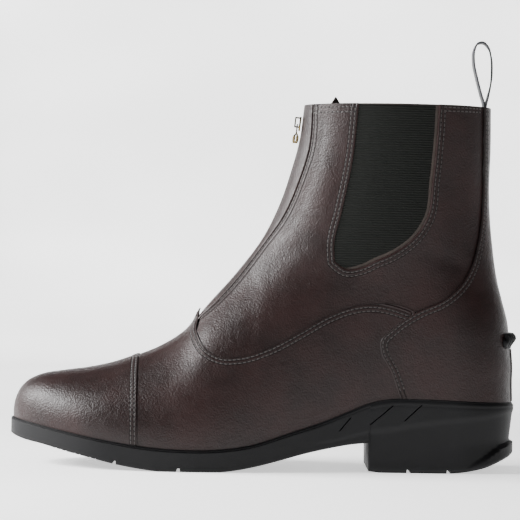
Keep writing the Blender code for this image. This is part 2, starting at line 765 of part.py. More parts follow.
def build_pull(brass):
    """The pull: a bar through the bridge, two arms and a slotted tab turned to the lateral side."""
    out, up = pull_pivot()
    here, way_out, way_up = slider_frame()
    pivot = here + way_out * out + way_up * up
    half, thick, bar = PULL_HALF, PULL_THICKNESS / 2, PULL_BAR
    window = BRIDGE_HEIGHT + 2 * BRIDGE_WALL
    arm = BRIDGE_HALF + GAP
    top, foot = bar, -PULL_LENGTH
    pull = box_points((-bar, -half, -bar), (bar, half, bar))
    made = swept_solid("zip_pull", pull, brass)
    for side in (-1, 1):
        near, far = sorted((side * arm, side * half))
        side_arm = swept_solid("arm", box_points((-thick, near, -window - thick), (thick, far, top)), None)
        combine(made, side_arm, "UNION")
    sections = []
    for share in np.linspace(0.0, 1.0, 9):
        z = -window + share * (foot + window)
        narrow = half * (1 - 0.35 * ease((share - 0.8) / 0.2))
        turn = PULL_TURN * ease(share / 0.45)
        corners = ((-thick, -narrow), (thick, -narrow), (thick, narrow), (-thick, narrow))
        sections.append(
            [(x * np.cos(turn) - y * np.sin(turn), x * np.sin(turn) + y * np.cos(turn), z) for x, y in corners]
        )
    combine(made, swept_solid("tab", np.array(sections), None), "UNION")
    slot = box_points((-half, -half / 3, foot + half / 2), (half, half / 3, -window - half / 2))
    cutter = swept_solid("slot", slot, None)
    cutter.rotation_euler.z = PULL_TURN
    combine(made, cutter, "DIFFERENCE")
    made.data.transform(Matrix.Rotation(np.arctan2(way_up[0], way_up[1]), 4, "Y"))
    made.location = (pivot[0], 0.0, pivot[1])
    return made


def build_guard(leather):
    """The flap behind the zip, sewn to the medial side, with the pointed top that shows over the collar."""
    low = front_v(ZIP_FOOT_HEIGHT + ZIP_SLOT_HALF)
    v = np.append(np.linspace(low, 1.0, 9), 1.0)
    share = GUARD_TIP_PLACE / (BACK[-1, 0] - FRONT[-1, 0])
    spread = GUARD_TIP_HALF / (BACK[-1, 0] - FRONT[-1, 0])
    tip = [np.arccos(1 - 2 * s) for s in (share + spread, share + 0.6 * spread, share, share - 0.6 * spread)]
    theta = -np.array(tip + [0.45, 0.3, 0.15, 0.0, -0.15, -0.3, -0.45, -0.6])
    lift = np.array([0.0, 0.05, 1.0, 0.05] + [0.0] * 8) * GUARD_TIP_TALL + GAP
    taper = ease((v - low) / 0.1) * 0.4 + 0.6
    grid_theta = theta[:, None] * taper[None, :]
    places = np.stack([grid_theta, np.broadcast_to(v, grid_theta.shape)], axis=-1)
    raised = np.zeros(places.shape[:2])
    raised[:, -1] = lift
    face = LINING_FACE - GUARD_GAP
    return leather_piece("zip_guard", places, face - GUARD_THICKNESS, face, leather, raised)


def station_shares():
    """Places along the sole: those of the upper's ring points, so both bend alike, and two at the breast."""
    ring = ring_thetas()
    foot = FEATHER_INSET / SOLE_LENGTH + ring_share(ring[ring <= np.pi]) * (1 - 2 * FEATHER_INSET / SOLE_LENGTH)
    foot[[0, -1]] = 0.0, 1.0
    breast = BREAST_PLACE / SOLE_LENGTH
    kept = foot[np.abs(foot - breast) > BREAST_STEP]
    return np.sort(np.concatenate([kept, [breast - BREAST_STEP, breast + BREAST_STEP]]))


def sole_ring(shares, level):
    """One ring of the sole's side, toe to heel over the lateral side and back over the medial one."""
    x = TOE_X + shares * SOLE_LENGTH
    at_heel = ease((shares - BREAST_PLACE / SOLE_LENGTH + 0.10) / 0.10)
    at_back = ease((shares - 0.84) / 0.12)
    inset = level.forepart * (1 - at_heel) + level.flank * at_heel
    inset = SOLE_WAIST * (inset * (1 - at_back) + level.back * at_back)
    low, high = underside_height(x), feather_height(x)
    z = low + level.height * (high - low)
    rows = []
    for side, keep in ((-1, slice(None)), (1, slice(-2, 0, -1))):
        px, py = plan_point(shares, side, inset)
        rows.append(np.stack([px, py, z], axis=-1)[keep])
    return np.concatenate(rows)


def capped_rings(name, rings, count, finish):
    """A solid from a stack of rings whose two sides share their places along the sole."""
    size = len(rings[0])
    faces = []
    for k in range(len(rings) - 1):
        for i in range(size):
            j = (i + 1) % size
            faces.append((k * size + i, k * size + j, (k + 1) * size + j, (k + 1) * size + i))
    for start in (0, (len(rings) - 1) * size):
        for i in range(count - 1):
            a, b = start + i, start + i + 1
            c, d = start + (size - i - 1) % size, start + (size - i) % size
            corners = list(dict.fromkeys((a, b, c, d)))
            faces.append(tuple(corners))
    return make_object(name, np.concatenate(rings), faces, finish)


def build_sole(rubber):
    shares = station_shares()
    sole = capped_rings("sole", [sole_ring(shares, level) for level in SOLE_SIDE], len(shares), rubber)
    cut_tread(sole)
    cut_slashes(sole)
    return sole


def groove(x, reach_low, reach_high):
    """A cutter for one groove across the tread, as deep as the underside there asks."""
    floor = float(underside_height(np.array([x]))[0])
    low = (x - GROOVE_WIDTH / 2, reach_low, -GROOVE_DEPTH)
    return box_points(low, (x + GROOVE_WIDTH / 2, reach_high, floor + GROOVE_DEPTH))


def cut_tread(sole):
    """Grooves that reach the edge make the notches seen from the side; the others stay inside a rim."""
    for share in EDGE_GROOVES:
        x = TOE_X + share * SOLE_LENGTH
        combine(sole, swept_solid("groove", groove(x, -BALL_WIDTH, BALL_WIDTH), None), "DIFFERENCE")
    for share in INNER_GROOVES:
        x = TOE_X + share * SOLE_LENGTH
        ends = [float(plan_point(np.array([share]), side, TREAD_MARGIN)[1][0]) for side in (-1, 1)]
        combine(sole, swept_solid("groove", groove(x, *ends), None), "DIFFERENCE")


def cut_slashes(sole):
    """The three slanting cuts in each side of the arch and heel."""
    for upper_end, lower_end in SLASHES:
        high, low = side_point(upper_end, SEAT_HEIGHT), side_point(lower_end, SEAT_HEIGHT)
        way = (high - low) / np.linalg.norm(high - low)
        across = np.array([way[1], -way[0]]) * SLASH_WIDTH / 2
        for side in (-1, 1):
            sections = []
            for end in (low, high):
                share = np.array([share_of(end[0])])
                edge = float(plan_point(share, side, 0.0)[1][0])
                deep, free = edge - side * SLASH_DEPTH, edge + side * 2 * SLASH_DEPTH
                sections.append(
                    [
                        (end[0] - across[0], free, end[1] - across[1]),
                        (end[0], deep, end[1]),
                        (end[0] + across[0], free, end[1] + across[1]),
                    ]
                )
            combine(sole, swept_solid("slash", np.array(sections), None), "DIFFERENCE")


def build_insole(lining):
    """The sock on the sole's top, inside the upper."""
    shares = station_shares()
    rings = []
    for lift in (GAP, GAP + INSOLE_THICKNESS):
        rows = []
        for side, keep in ((-1, slice(None)), (1, slice(-2, 0, -1))):
            x, y = plan_point(shares, side, INSOLE_INSET)
            rows.append(np.stack([x, y, feather_height(x) + lift], axis=-1)[keep])
        rings.append(np.concatenate(rows))
    return capped_rings("insole", rings, len(shares), lining)


def build_loop(webbing):
    """The pull loop: a teardrop of tape whose doubled tail is sewn inside the back of the collar."""
    v = np.array([0.97])
    theta = np.linspace(np.pi - 0.6, np.pi, 60)
    inside = skin(theta, np.full_like(theta, v[0]), LINING_FACE)
    wall = float(np.interp(-LOOP_HALF, inside[:, 1], inside[:, 0]))
    tail = wall - GAP - LOOP_TAPE
    turn = np.linspace(0.0, 2 * np.pi, 32, endpoint=False)
    rise = (1 - np.cos(turn)) / 2
    teardrop = LOOP_TEARDROP * np.sin(turn) * np.sin(turn / 2) ** 0.9
    wide = (LOOP_DEPTH / 2 - LOOP_TAPE) * teardrop + LOOP_TAPE * np.sign(np.round(np.sin(turn), 6))
    lean = LOOP_LEAN * np.sin(np.pi * rise)
    outline = np.stack([tail + lean + wide, COLLAR_HEIGHT + rise * LOOP_HEIGHT], axis=-1)
    eye_low, eye_high = LOOP_EYE, LOOP_HEIGHT - LOOP_TAPE
    eye_rise = COLLAR_HEIGHT + eye_low + rise * (eye_high - eye_low)
    eye = np.stack([tail + lean + (LOOP_DEPTH / 2 - 2 * LOOP_TAPE) * teardrop, eye_rise], axis=-1)
    rings = []
    for line in (outline, eye):
        rings.append(np.stack([np.insert(line, 1, y, axis=1) for y in (-LOOP_HALF, LOOP_HALF)], axis=1))
    loop = sheet_solid("pull_loop", rings[1], rings[0], webbing, closed=True)
    tail_box = box_points(
        (tail - LOOP_TAPE, -LOOP_HALF, COLLAR_HEIGHT - LOOP_TAIL),
        (tail + LOOP_TAPE, LOOP_HALF, COLLAR_HEIGHT + LOOP_EYE / 2),
    )
    combine(loop, swept_solid("loop_tail", tail_box, None), "UNION")
    return loop


def build_spur_rest(rubber):
    """The rubber ledge round the back of the heel that keeps a spur strap up."""
    heights = SPUR_REST_HEIGHT + SPUR_REST_TALL * np.array([-0.5, -0.25, 0.1, 0.4, 0.5])
    proud = np.array([0.25, 0.55, 0.9, 1.0, 0.7])
    v = np.interp(heights, BACK[:, 1], np.linspace(0.0, 1.0, len(BACK)))
    reach = np.linspace(-1.0, 1.0, 15)
    theta = np.linspace(np.pi - 1.2, np.pi, 80)
    arc = run_of(skin_base(theta, np.full_like(theta, v[2])))
    half = np.pi - np.interp(arc[-1] - SPUR_REST_HALF, arc, theta)
    places = np.stack(np.broadcast_arrays(np.pi + half * reach[:, None], v[None, :]), axis=-1)
    ends = np.sqrt(1 - (0.93 * np.abs(reach)) ** 4)[:, None]
    high = GAP + SPUR_REST_PROUD * (0.25 + 0.75 * ends) * proud[None, :]
    return leather_piece("spur_rest", places, GAP, high, rubber)


def main():
    clear_scene()
    leather = material("leather", (0.045, 0.022, 0.020), 0.38)
    elastic = material("elastic", (0.012, 0.013, 0.012), 0.85)
    rubber = material("rubber", (0.018, 0.018, 0.020), 0.55)
    lining = material("lining", (0.055, 0.040, 0.032), 0.80)
    brass = material("brass", (0.55, 0.40, 0.18), 0.32, 1.0)
    webbing = material("webbing", (0.012, 0.012, 0.013), 0.75)
    build_sole(rubber)
    build_upper(leather)
    build_insole(lining)
    build_toe_cap(leather)
    build_vamp(leather)
    build_counter(leather)
    build_gore("gore_lateral", -1, elastic)
    build_gore("gore_medial", 1, elastic)
    build_placket("placket_lateral", -1, leather)
    build_placket("placket_medial", 1, leather)
    build_zip(brass)
    build_slider(brass)
    build_pull(brass)
    build_guard(leather)
    build_loop(webbing)
    build_spur_rest(rubber)


main()
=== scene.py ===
"""Looks of a front-zip paddock boot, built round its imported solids.

Every leather piece follows skin(), the boot's surface over rings that run from the feather line to the
collar. A seam is a table of points seen from the side, and is carried to the rings by ring_place().
"""

from collections import namedtuple

import bmesh
import bpy
import numpy as np
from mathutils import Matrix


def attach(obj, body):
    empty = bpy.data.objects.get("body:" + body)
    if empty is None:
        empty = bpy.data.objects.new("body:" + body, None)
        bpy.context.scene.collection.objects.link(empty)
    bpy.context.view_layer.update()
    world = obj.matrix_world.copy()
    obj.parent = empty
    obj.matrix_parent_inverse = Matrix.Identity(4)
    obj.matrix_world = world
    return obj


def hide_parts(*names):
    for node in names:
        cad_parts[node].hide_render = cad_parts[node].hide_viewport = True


bl_info = {
    "name": "Paddock boot looks",
    "version": (1, 0, 0),
    "blender": (4, 5, 0),
    "location": "View3D > Sidebar > Boot",
    "description": "Leather, elastic, rubber and zip of a front-zip paddock boot",
    "category": "Object",
}

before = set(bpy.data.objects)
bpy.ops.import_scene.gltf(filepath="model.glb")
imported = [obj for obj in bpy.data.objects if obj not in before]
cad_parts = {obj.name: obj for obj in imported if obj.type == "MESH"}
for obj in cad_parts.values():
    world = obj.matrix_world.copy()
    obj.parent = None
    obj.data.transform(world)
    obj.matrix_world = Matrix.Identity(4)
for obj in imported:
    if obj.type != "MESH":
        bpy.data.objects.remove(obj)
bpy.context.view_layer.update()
BOOT = "boot"

# Sizes of the last and the sole, in metres
SOLE_LENGTH = 0.280
BALL_WIDTH = 0.096
COLLAR_HEIGHT = 0.201
COLLAR_HALF_WIDTH = 0.032
SEAT_HEIGHT = 0.040
BREAST_HEIGHT = 0.0162
BREAST_PLACE = 0.199
TOE_SPRING = 0.016
HEEL_BEVEL = 0.009
TOE_ROUND = 0.058
HEEL_ROUND = 0.034
TOE_TIP_SHIFT = 0.0055
FEATHER_INSET = 0.0018
FOOT_GAP = 0.0003
TOE_X = -SOLE_LENGTH / 2
HEEL_X = SOLE_LENGTH / 2
BREAST_X = TOE_X + BREAST_PLACE
NUDGE = 1e-3
MM = 0.001

Edge = namedtuple("Edge", "along lateral medial lateral_bulge medial_bulge squareness")
PLAN = [
    Edge(0.00, 0.310, 0.395, 0.0008, 0.0008, 2.9),
    Edge(0.10, 0.375, 0.440, 0.0010, 0.0010, 2.8),
    Edge(0.20, 0.438, 0.482, 0.0010, 0.0010, 2.4),
    Edge(0.30, 0.490, 0.500, 0.0008, 0.0006, 2.1),
    Edge(0.36, 0.500, 0.486, 0.0008, 0.0008, 2.0),
    Edge(0.44, 0.478, 0.425, 0.0010, 0.0020, 1.9),
    Edge(0.52, 0.434, 0.350, 0.0014, 0.0045, 1.9),
    Edge(0.60, 0.390, 0.295, 0.0016, 0.0060, 2.0),
    Edge(0.68, 0.358, 0.275, 0.0014, 0.0055, 2.2),
    Edge(0.76, 0.346, 0.288, 0.0010, 0.0035, 2.4),
    Edge(0.84, 0.345, 0.315, 0.0008, 0.0016, 2.6),
    Edge(0.92, 0.342, 0.332, 0.0006, 0.0008, 2.6),
    Edge(1.00, 0.338, 0.338, 0.0005, 0.0005, 2.6),
]

SideRow = namedtuple("SideRow", "along up")
FRONT_LINE = [
    SideRow(0.0075, 0.159),
    SideRow(0.0115, 0.180),
    SideRow(0.0200, 0.2035),
    SideRow(0.0336, 0.223),
    SideRow(0.0575, 0.2395),
    SideRow(0.105, 0.2525),
    SideRow(0.1525, 0.262),
    SideRow(0.2004, 0.277),
    SideRow(0.2475, 0.300),
    SideRow(0.295, 0.328),
    SideRow(0.341, 0.369),
    SideRow(0.393, 0.454),
    SideRow(0.4496, 0.545),
    SideRow(0.4964, 0.636),
    SideRow(0.527, 0.726),
    SideRow(0.548, 0.815),
    SideRow(0.5646, 0.9055),
    SideRow(0.573, 1.0),
]
BACK_LINE = [
    SideRow(0.9925, 0.240),
    SideRow(0.9925, 0.293),
    SideRow(0.989, 0.345),
    SideRow(0.982, 0.418),
    SideRow(0.972, 0.470),
    SideRow(0.963, 0.517),
    SideRow(0.957, 0.560),
    SideRow(0.951, 0.622),
    SideRow(0.945, 0.706),
    SideRow(0.943, 0.781),
    SideRow(0.9446, 0.880),
    SideRow(0.944, 1.0),
]
FEATHER_LINE = [
    SideRow(0.000, 0.630),
    SideRow(0.066, 0.550),
    SideRow(0.189, 0.402),
    SideRow(0.262, 0.328),
    SideRow(0.350, 0.288),
    SideRow(0.421, 0.300),
    SideRow(0.478, 0.355),
    SideRow(0.555, 0.525),
    SideRow(0.613, 0.660),
    SideRow(0.671, 0.825),
    SideRow(0.709, 0.935),
    SideRow(0.748, 0.992),
    SideRow(0.806, 1.000),
    SideRow(0.864, 0.990),
    SideRow(0.925, 0.970),
    SideRow(1.000, 0.945),
]

Lift = namedtuple("Lift", "along toe arch bevel")
UNDERSIDE = [
    Lift(0.000, 1.000, 0.0, 0.0),
    Lift(0.018, 0.900, 0.0, 0.0),
    Lift(0.071, 0.740, 0.0, 0.0),
    Lift(0.118, 0.560, 0.0, 0.0),
    Lift(0.168, 0.380, 0.0, 0.0),
    Lift(0.214, 0.205, 0.0, 0.0),
    Lift(0.261, 0.075, 0.0, 0.0),
    Lift(0.300, 0.000, 0.0, 0.0),
    Lift(0.420, 0.000, 0.0, 0.0),
    Lift(0.450, 0.000, 0.06, 0.0),
    Lift(0.490, 0.000, 0.19, 0.0),
    Lift(0.536, 0.000, 0.39, 0.0),
    Lift(0.582, 0.000, 0.61, 0.0),
    Lift(0.629, 0.000, 0.79, 0.0),
    Lift(0.675, 0.000, 0.93, 0.0),
    Lift(0.712, 0.000, 1.00, 0.0),
]
HEEL_UNDERSIDE = [
    Lift(0.708, 0.0, 0.0, 0.10),
    Lift(0.735, 0.0, 0.0, 0.0),
    Lift(0.872, 0.0, 0.0, 0.0),
    Lift(0.907, 0.0, 0.0, 0.10),
    Lift(0.930, 0.0, 0.0, 0.25),
    Lift(0.957, 0.0, 0.0, 0.51),
    Lift(0.980, 0.0, 0.0, 0.78),
    Lift(1.000, 0.0, 0.0, 1.0),
]

# Lines on the sole's side, in shares of its length and the seat height: the long ridge, and the upper
# edge of the flare at the heel's back
RIDGE = [
    SideRow(0.56, 0.40),
    SideRow(0.631, 0.45),
    SideRow(0.714, 0.583),
    SideRow(0.749, 0.615),
    SideRow(0.818, 0.70),
    SideRow(0.929, 0.79),
    SideRow(1.000, 0.865),
]
FLARE = [
    SideRow(0.890, 0.02),
    SideRow(0.917, 0.13),
    SideRow(0.943, 0.24),
    SideRow(0.968, 0.35),
    SideRow(1.000, 0.435),
]
SLASHES = [  # upper and lower end of each slash in the sole's side
    (SideRow(0.672, 0.745), SideRow(0.651, 0.568)),
    (SideRow(0.754, 0.915), SideRow(0.710, 0.652)),
    (SideRow(0.810, 0.932), SideRow(0.777, 0.712)),
]
SLASH_DEPTH = 0.0013
SLASH_WIDTH = 0.0015
TREAD_MARGIN = 0.011
EDGE_GROOVES = (0.217, 0.341, 0.786, 0.864)
INNER_GROOVES = (0.13, 0.16, 0.19, 0.25, 0.28, 0.31, 0.372, 0.403, 0.434, 0.757, 0.825)
SERRATIONS = (0.101, 0.111, 0.121, 0.139, 0.149, 0.170, 0.180)

# The pull loop seen from the side, from its tail's foot up its front strand and down its rear one
LOOP_FOOT = (0.1196, COLLAR_HEIGHT - 0.0115)
LOOP_LINE = [
    (0.0000, 0.0000),
    (0.0003, 0.0070),
    (0.0010, 0.0130),
    (-0.0008, 0.0195),
    (-0.0031, 0.0280),
    (-0.0050, 0.0370),
    (-0.0047, 0.0440),
    (-0.0028, 0.0475),
    (0.0000, 0.0480),
    (0.0030, 0.0455),
    (0.0048, 0.0400),
    (0.0053, 0.0330),
    (0.0048, 0.0250),
    (0.0033, 0.0180),
    (0.0021, 0.0130),
    (0.0014, 0.0070),
    (0.0011, 0.0000),
]
LOOP_HALF = 0.0049
LOOP_TAPE = 0.0010
LOOP_TWIST = 0.13  # how far the rear strand turns its face to the side

SPUR_REST_HEIGHT = 0.0720
SPUR_REST_TALL = 0.0082
SPUR_REST_HALF = 0.0150
HEEL_STRIP_HALF = 0.0070

# Seams seen from the side, in shares of the sole's length and the collar's height
CAP_EDGE = [SideRow(0.256, 0.305), SideRow(0.258, 0.240), SideRow(0.260, 0.163), SideRow(0.262, 0.078)]
VAMP_PEAK = SideRow(0.3795, 0.430)
VAMP_EDGE = [
    SideRow(0.367, 0.378),
    SideRow(0.383, 0.336),
    SideRow(0.417, 0.308),
    SideRow(0.456, 0.309),
    SideRow(0.514, 0.336),
    SideRow(0.571, 0.379),
    SideRow(0.629, 0.425),
    SideRow(0.677, 0.449),
    SideRow(0.720, 0.454),
    SideRow(0.757, 0.444),
    SideRow(0.783, 0.432),
]
COUNTER_EDGE = [
    SideRow(0.768, 0.200),
    SideRow(0.748, 0.275),
    SideRow(0.729, 0.325),
    SideRow(0.727, 0.353),
    SideRow(0.752, 0.393),
    SideRow(0.800, 0.438),
    SideRow(0.850, 0.470),
    SideRow(0.892, 0.525),
    SideRow(0.920, 0.630),
    SideRow(0.929, 0.745),
    SideRow(0.929, 0.870),
    SideRow(0.928, 0.999),
]
VAMP_END = 0.432
GORE_FRONT = [
    SideRow(0.636, 0.570),
    SideRow(0.634, 0.612),
    SideRow(0.648, 0.708),
    SideRow(0.667, 0.845),
    SideRow(0.677, 0.999),
]
GORE_FOOT = [SideRow(0.636, 0.570), SideRow(0.658, 0.549), SideRow(0.690, 0.555), SideRow(0.715, 0.572)]
GORE_REAR = [
    SideRow(0.715, 0.572),
    SideRow(0.745, 0.590),
    SideRow(0.791, 0.637),
    SideRow(0.816, 0.691),
    SideRow(0.826, 0.793),
    SideRow(0.833, 0.903),
    SideRow(0.836, 0.999),
]
PLACKET_SEAM = [
    SideRow(0.376, 0.415),
    SideRow(0.398, 0.444),
    SideRow(0.443, 0.513),
    SideRow(0.496, 0.611),
    SideRow(0.537, 0.694),
    SideRow(0.566, 0.790),
    SideRow(0.584, 0.875),
    SideRow(0.590, 0.999),
]

Crease = namedtuple("Crease", "along up slope length width depth")
# Soft troughs (positive depth) and ridges: centre, slope of the line in degrees seen from
# the side, and its sizes in metres
CREASES = [
    Crease(0.470, 0.50, 28, 0.030, 0.0060, 0.0007),
    Crease(0.500, 0.45, 22, 0.034, 0.0065, -0.0005),
    Crease(0.520, 0.57, 35, 0.026, 0.0055, 0.0006),
    Crease(0.560, 0.51, 24, 0.034, 0.0075, 0.0007),
    Crease(0.330, 0.27, 60, 0.020, 0.0060, 0.0003),
    Crease(0.385, 0.25, 66, 0.020, 0.0060, 0.0003),
    Crease(0.880, 0.56, -30, 0.022, 0.0060, 0.0006),
    Crease(0.905, 0.50, -20, 0.020, 0.0050, 0.0005),
    Crease(0.610, 0.80, 78, 0.040, 0.0080, -0.0005),
    Crease(0.870, 0.78, 88, 0.040, 0.0060, 0.0005),
]


# Sizes and colours that a user would change

class LeatherSettings(bpy.types.PropertyGroup):
    colour: bpy.props.FloatVectorProperty(
        name="Leather", description="Colour of the leather", subtype="COLOR", size=3,
        default=(0.0112, 0.0036, 0.0032)
    )
    thread: bpy.props.FloatVectorProperty(
        name="Thread", description="Colour of the stitching", subtype="COLOR", size=3,
        default=(0.015, 0.0088, 0.0074)
    )
    roughness: bpy.props.FloatProperty(
        name="Roughness", description="How matt the leather is", subtype="FACTOR",
        default=0.43, min=0.0, max=1.0
    )
    grain: bpy.props.FloatProperty(
        name="Grain", description="Height of the leather's grain", unit="LENGTH", default=0.00032
    )
    stitch: bpy.props.FloatProperty(
        name="Stitch", description="From one stitch to the next", unit="LENGTH", default=0.0025
    )
    first_row: bpy.props.FloatProperty(
        name="First row", description="From an edge to its first row of stitches", unit="LENGTH",
        default=0.0015
    )
    second_row: bpy.props.FloatProperty(
        name="Second row", description="From an edge to its second row", unit="LENGTH",
        default=0.0036
    )


class ElasticSettings(bpy.types.PropertyGroup):
    colour: bpy.props.FloatVectorProperty(
        name="Elastic", description="Colour of the gores", subtype="COLOR", size=3,
        default=(0.0052, 0.0058, 0.0048)
    )
    rib: bpy.props.FloatProperty(
        name="Rib", description="From one rib of the elastic to the next", unit="LENGTH",
        default=0.0013
    )


class SoleSettings(bpy.types.PropertyGroup):
    colour: bpy.props.FloatVectorProperty(
        name="Rubber", description="Colour of the sole", subtype="COLOR", size=3,
        default=(0.0028, 0.0028, 0.0033)
    )
    waist: bpy.props.FloatProperty(
        name="Waist", description="How far the sole's side draws in", unit="LENGTH", default=0.0024
    )
    groove: bpy.props.FloatProperty(
        name="Groove", description="Width of a groove in the tread", unit="LENGTH", default=0.0030
    )


class ZipSettings(bpy.types.PropertyGroup):
    colour: bpy.props.FloatVectorProperty(
        name="Brass", description="Colour of the zip's metal", subtype="COLOR", size=3,
        default=(0.105, 0.075, 0.030)
    )
    pitch: bpy.props.FloatProperty(
        name="Pitch", description="From one tooth of the zip to the next", unit="LENGTH",
        default=0.0016
    )


class StageSettings(bpy.types.PropertyGroup):
    floor: bpy.props.FloatVectorProperty(
        name="Floor", description="Colour of the floor", subtype="COLOR", size=3,
        default=(0.95, 0.95, 0.95)
    )
    distance: bpy.props.FloatProperty(
        name="Distance", description="From the camera to the boot's middle plane", unit="LENGTH",
        default=1.250
    )


# Curves

def smooth(knots, values, at):
    """Cubic through the knots, whose slope at each is taken from its two neighbours."""
    knots, values = np.asarray(knots, float), np.asarray(values, float)
    slopes = np.gradient(values, knots)
    i = np.clip(np.searchsorted(knots, at, side="right") - 1, 0, len(knots) - 2)
    span = knots[i + 1] - knots[i]
    t = np.clip((at - knots[i]) / span, 0.0, 1.0)
    left = (1 + 2 * t) * (1 - t) ** 2 * values[i] + t * (1 - t) ** 2 * span * slopes[i]
    right = t * t * (3 - 2 * t) * values[i + 1] + t * t * (t - 1) * span * slopes[i + 1]
    return left + right


def column(rows, name):
    return np.array([getattr(row, name) for row in rows])


def read(rows, name, along):
    """A table's column at these shares of the length."""
    return smooth(column(rows, "along"), column(rows, name), along)


def run_of(points):
    """Length along a polyline up to each of its points."""
    return np.concatenate([[0.0], np.cumsum(np.linalg.norm(np.diff(points, axis=0), axis=1))])


def line_through(points, count=240):
    """Points evenly spaced by length on a smooth curve through the given ones."""
    points = np.asarray(points, float)
    knots = run_of(points)
    at = np.linspace(0.0, knots[-1], count)
    dense = np.stack([smooth(knots, c, at) for c in points.T], axis=-1)
    run = run_of(dense)
    even = np.linspace(0.0, run[-1], count)
    return np.stack([np.interp(even, run, c) for c in dense.T], axis=-1)


def along_line(line, share):
    """Points at these shares of an evenly spaced line."""
    at = np.clip(share, 0.0, 1.0) * (len(line) - 1)
    return np.stack([np.interp(at, np.arange(len(line)), c) for c in line.T], axis=-1)


def ease(t):
    """Rises smoothly from 0 to 1 as t goes from 0 to 1."""
    t = np.clip(t, 0.0, 1.0)
    return t * t * (3 - 2 * t)


def bell(t):
    """1 at t = 0, falling smoothly to 0 on both sides."""
    return np.exp(-(t**2))


def crowd(count):
    """Shares from 0 to 1 that crowd together at both ends."""
    return (1 - np.cos(np.linspace(0.0, np.pi, count))) / 2


def round_end(distance, length):
    """Closes a width to zero at an end, as a quarter of an ellipse does."""
    t = np.clip(distance / length, 0.0, 1.0)
    return np.sqrt(1 - (1 - t) ** 2)


def coons(bottom, top, left, right, a, b):
    """A grid between four lines. Bottom and top run along its first index, left and right along its
    second."""
    a, b = a[:, None, None], b[None, :, None]
    ruled = (1 - b) * bottom[:, None] + b * top[:, None] + (1 - a) * left[None] + a * right[None]
    corners = (1 - a) * ((1 - b) * bottom[0] + b * top[0]) + a * ((1 - b) * bottom[-1] + b * top[-1])
    return ruled - corners


# The last

def side_point(row, height=COLLAR_HEIGHT):
    return np.array([TOE_X + row.along * SOLE_LENGTH, row.up * height])


def side_line(rows):
    return line_through([side_point(row) for row in rows])


def share_of(x):
    return (x - TOE_X) / SOLE_LENGTH


def feather_height(x):
    """Height of the joint between sole and upper."""
    return SEAT_HEIGHT * read(FEATHER_LINE, "up", share_of(x))


def underside_height(x):
    """Height of the sole's underside, which steps down at the heel's breast."""
    share = share_of(x)
    fore = TOE_SPRING * read(UNDERSIDE, "toe", share) + BREAST_HEIGHT * read(UNDERSIDE, "arch", share)
    heel = HEEL_BEVEL * read(HEEL_UNDERSIDE, "bevel", share)
    return np.maximum(np.where(x < BREAST_X, fore, heel), 0.0)


def centre_shift(x):
    """How far the middle line lies to the medial side: all of the shift at the toe, none past the instep."""
    return TOE_TIP_SHIFT * (1 - ease((share_of(x) - 0.05) / 0.36))


def foot_edge(x, side, inset):
    """Distance of the plan's edge from y = 0 on one side, before the ends close."""
    name = "lateral" if side < 0 else "medial"
    return BALL_WIDTH * read(PLAN, name, share_of(x)) - inset


def plan_point(share, side, inset):
    """A point of the sole's outline, moved inwards by inset. side is -1 for lateral, 1 for medial."""
    low, high = TOE_X + inset, HEEL_X - inset
    x = low + share * (high - low)
    ends = round_end(x - low, TOE_ROUND) * round_end(high - x, HEEL_ROUND)
    shift = centre_shift(x)
    return x, shift + side * (foot_edge(x, side, inset) - side * shift) * ends


FRONT = line_through(
    [[TOE_X + FEATHER_INSET, feather_height(TOE_X + FEATHER_INSET) + FOOT_GAP]]
    + [side_point(row) for row in FRONT_LINE],
    960,
)
FRONT[:, 0] = np.maximum.accumulate(FRONT[:, 0]) + 1e-8 * np.arange(len(FRONT))
BACK = line_through(
    [[HEEL_X - FEATHER_INSET, feather_height(HEEL_X - FEATHER_INSET) + FOOT_GAP]]
    + [side_point(row) for row in BACK_LINE],
    960,
)


# The height that closes the foot's section: the front line itself, then a curve that levels off inside
# the shaft, whose own ellipse has taken over there
CROWN_START = -0.008
BRIDGE_POINTS = [
    (0.0, 0.131),
    (0.008, 0.143),
    (0.018, 0.157),
    (0.030, 0.170),
    (0.050, 0.184),
    (0.080, 0.195),
    (0.150, 0.203),
]
INSTEP = FRONT[FRONT[:, 0] < CROWN_START]
BRIDGE = line_through([INSTEP[k] for k in (-60, -40, -20, -1)] + BRIDGE_POINTS, 900)
CROWN = np.concatenate([INSTEP, BRIDGE[BRIDGE[:, 0] > CROWN_START]])


def side_map(share, v):
    """Where a ring's point lies seen from the side: share 0 is the front line, 1 the back line."""
    front, back = along_line(FRONT, v), along_line(BACK, v)
    foot_x = FRONT[0, 0] + share * (BACK[0, 0] - FRONT[0, 0])
    foot = np.stack([foot_x, feather_height(foot_x) + FOOT_GAP], axis=-1)
    foot_chord = FRONT[0] + share[..., None] * (BACK[0] - FRONT[0])
    sag = (1 - v[..., None]) * (foot - foot_chord)
    return front + share[..., None] * (back - front) + sag


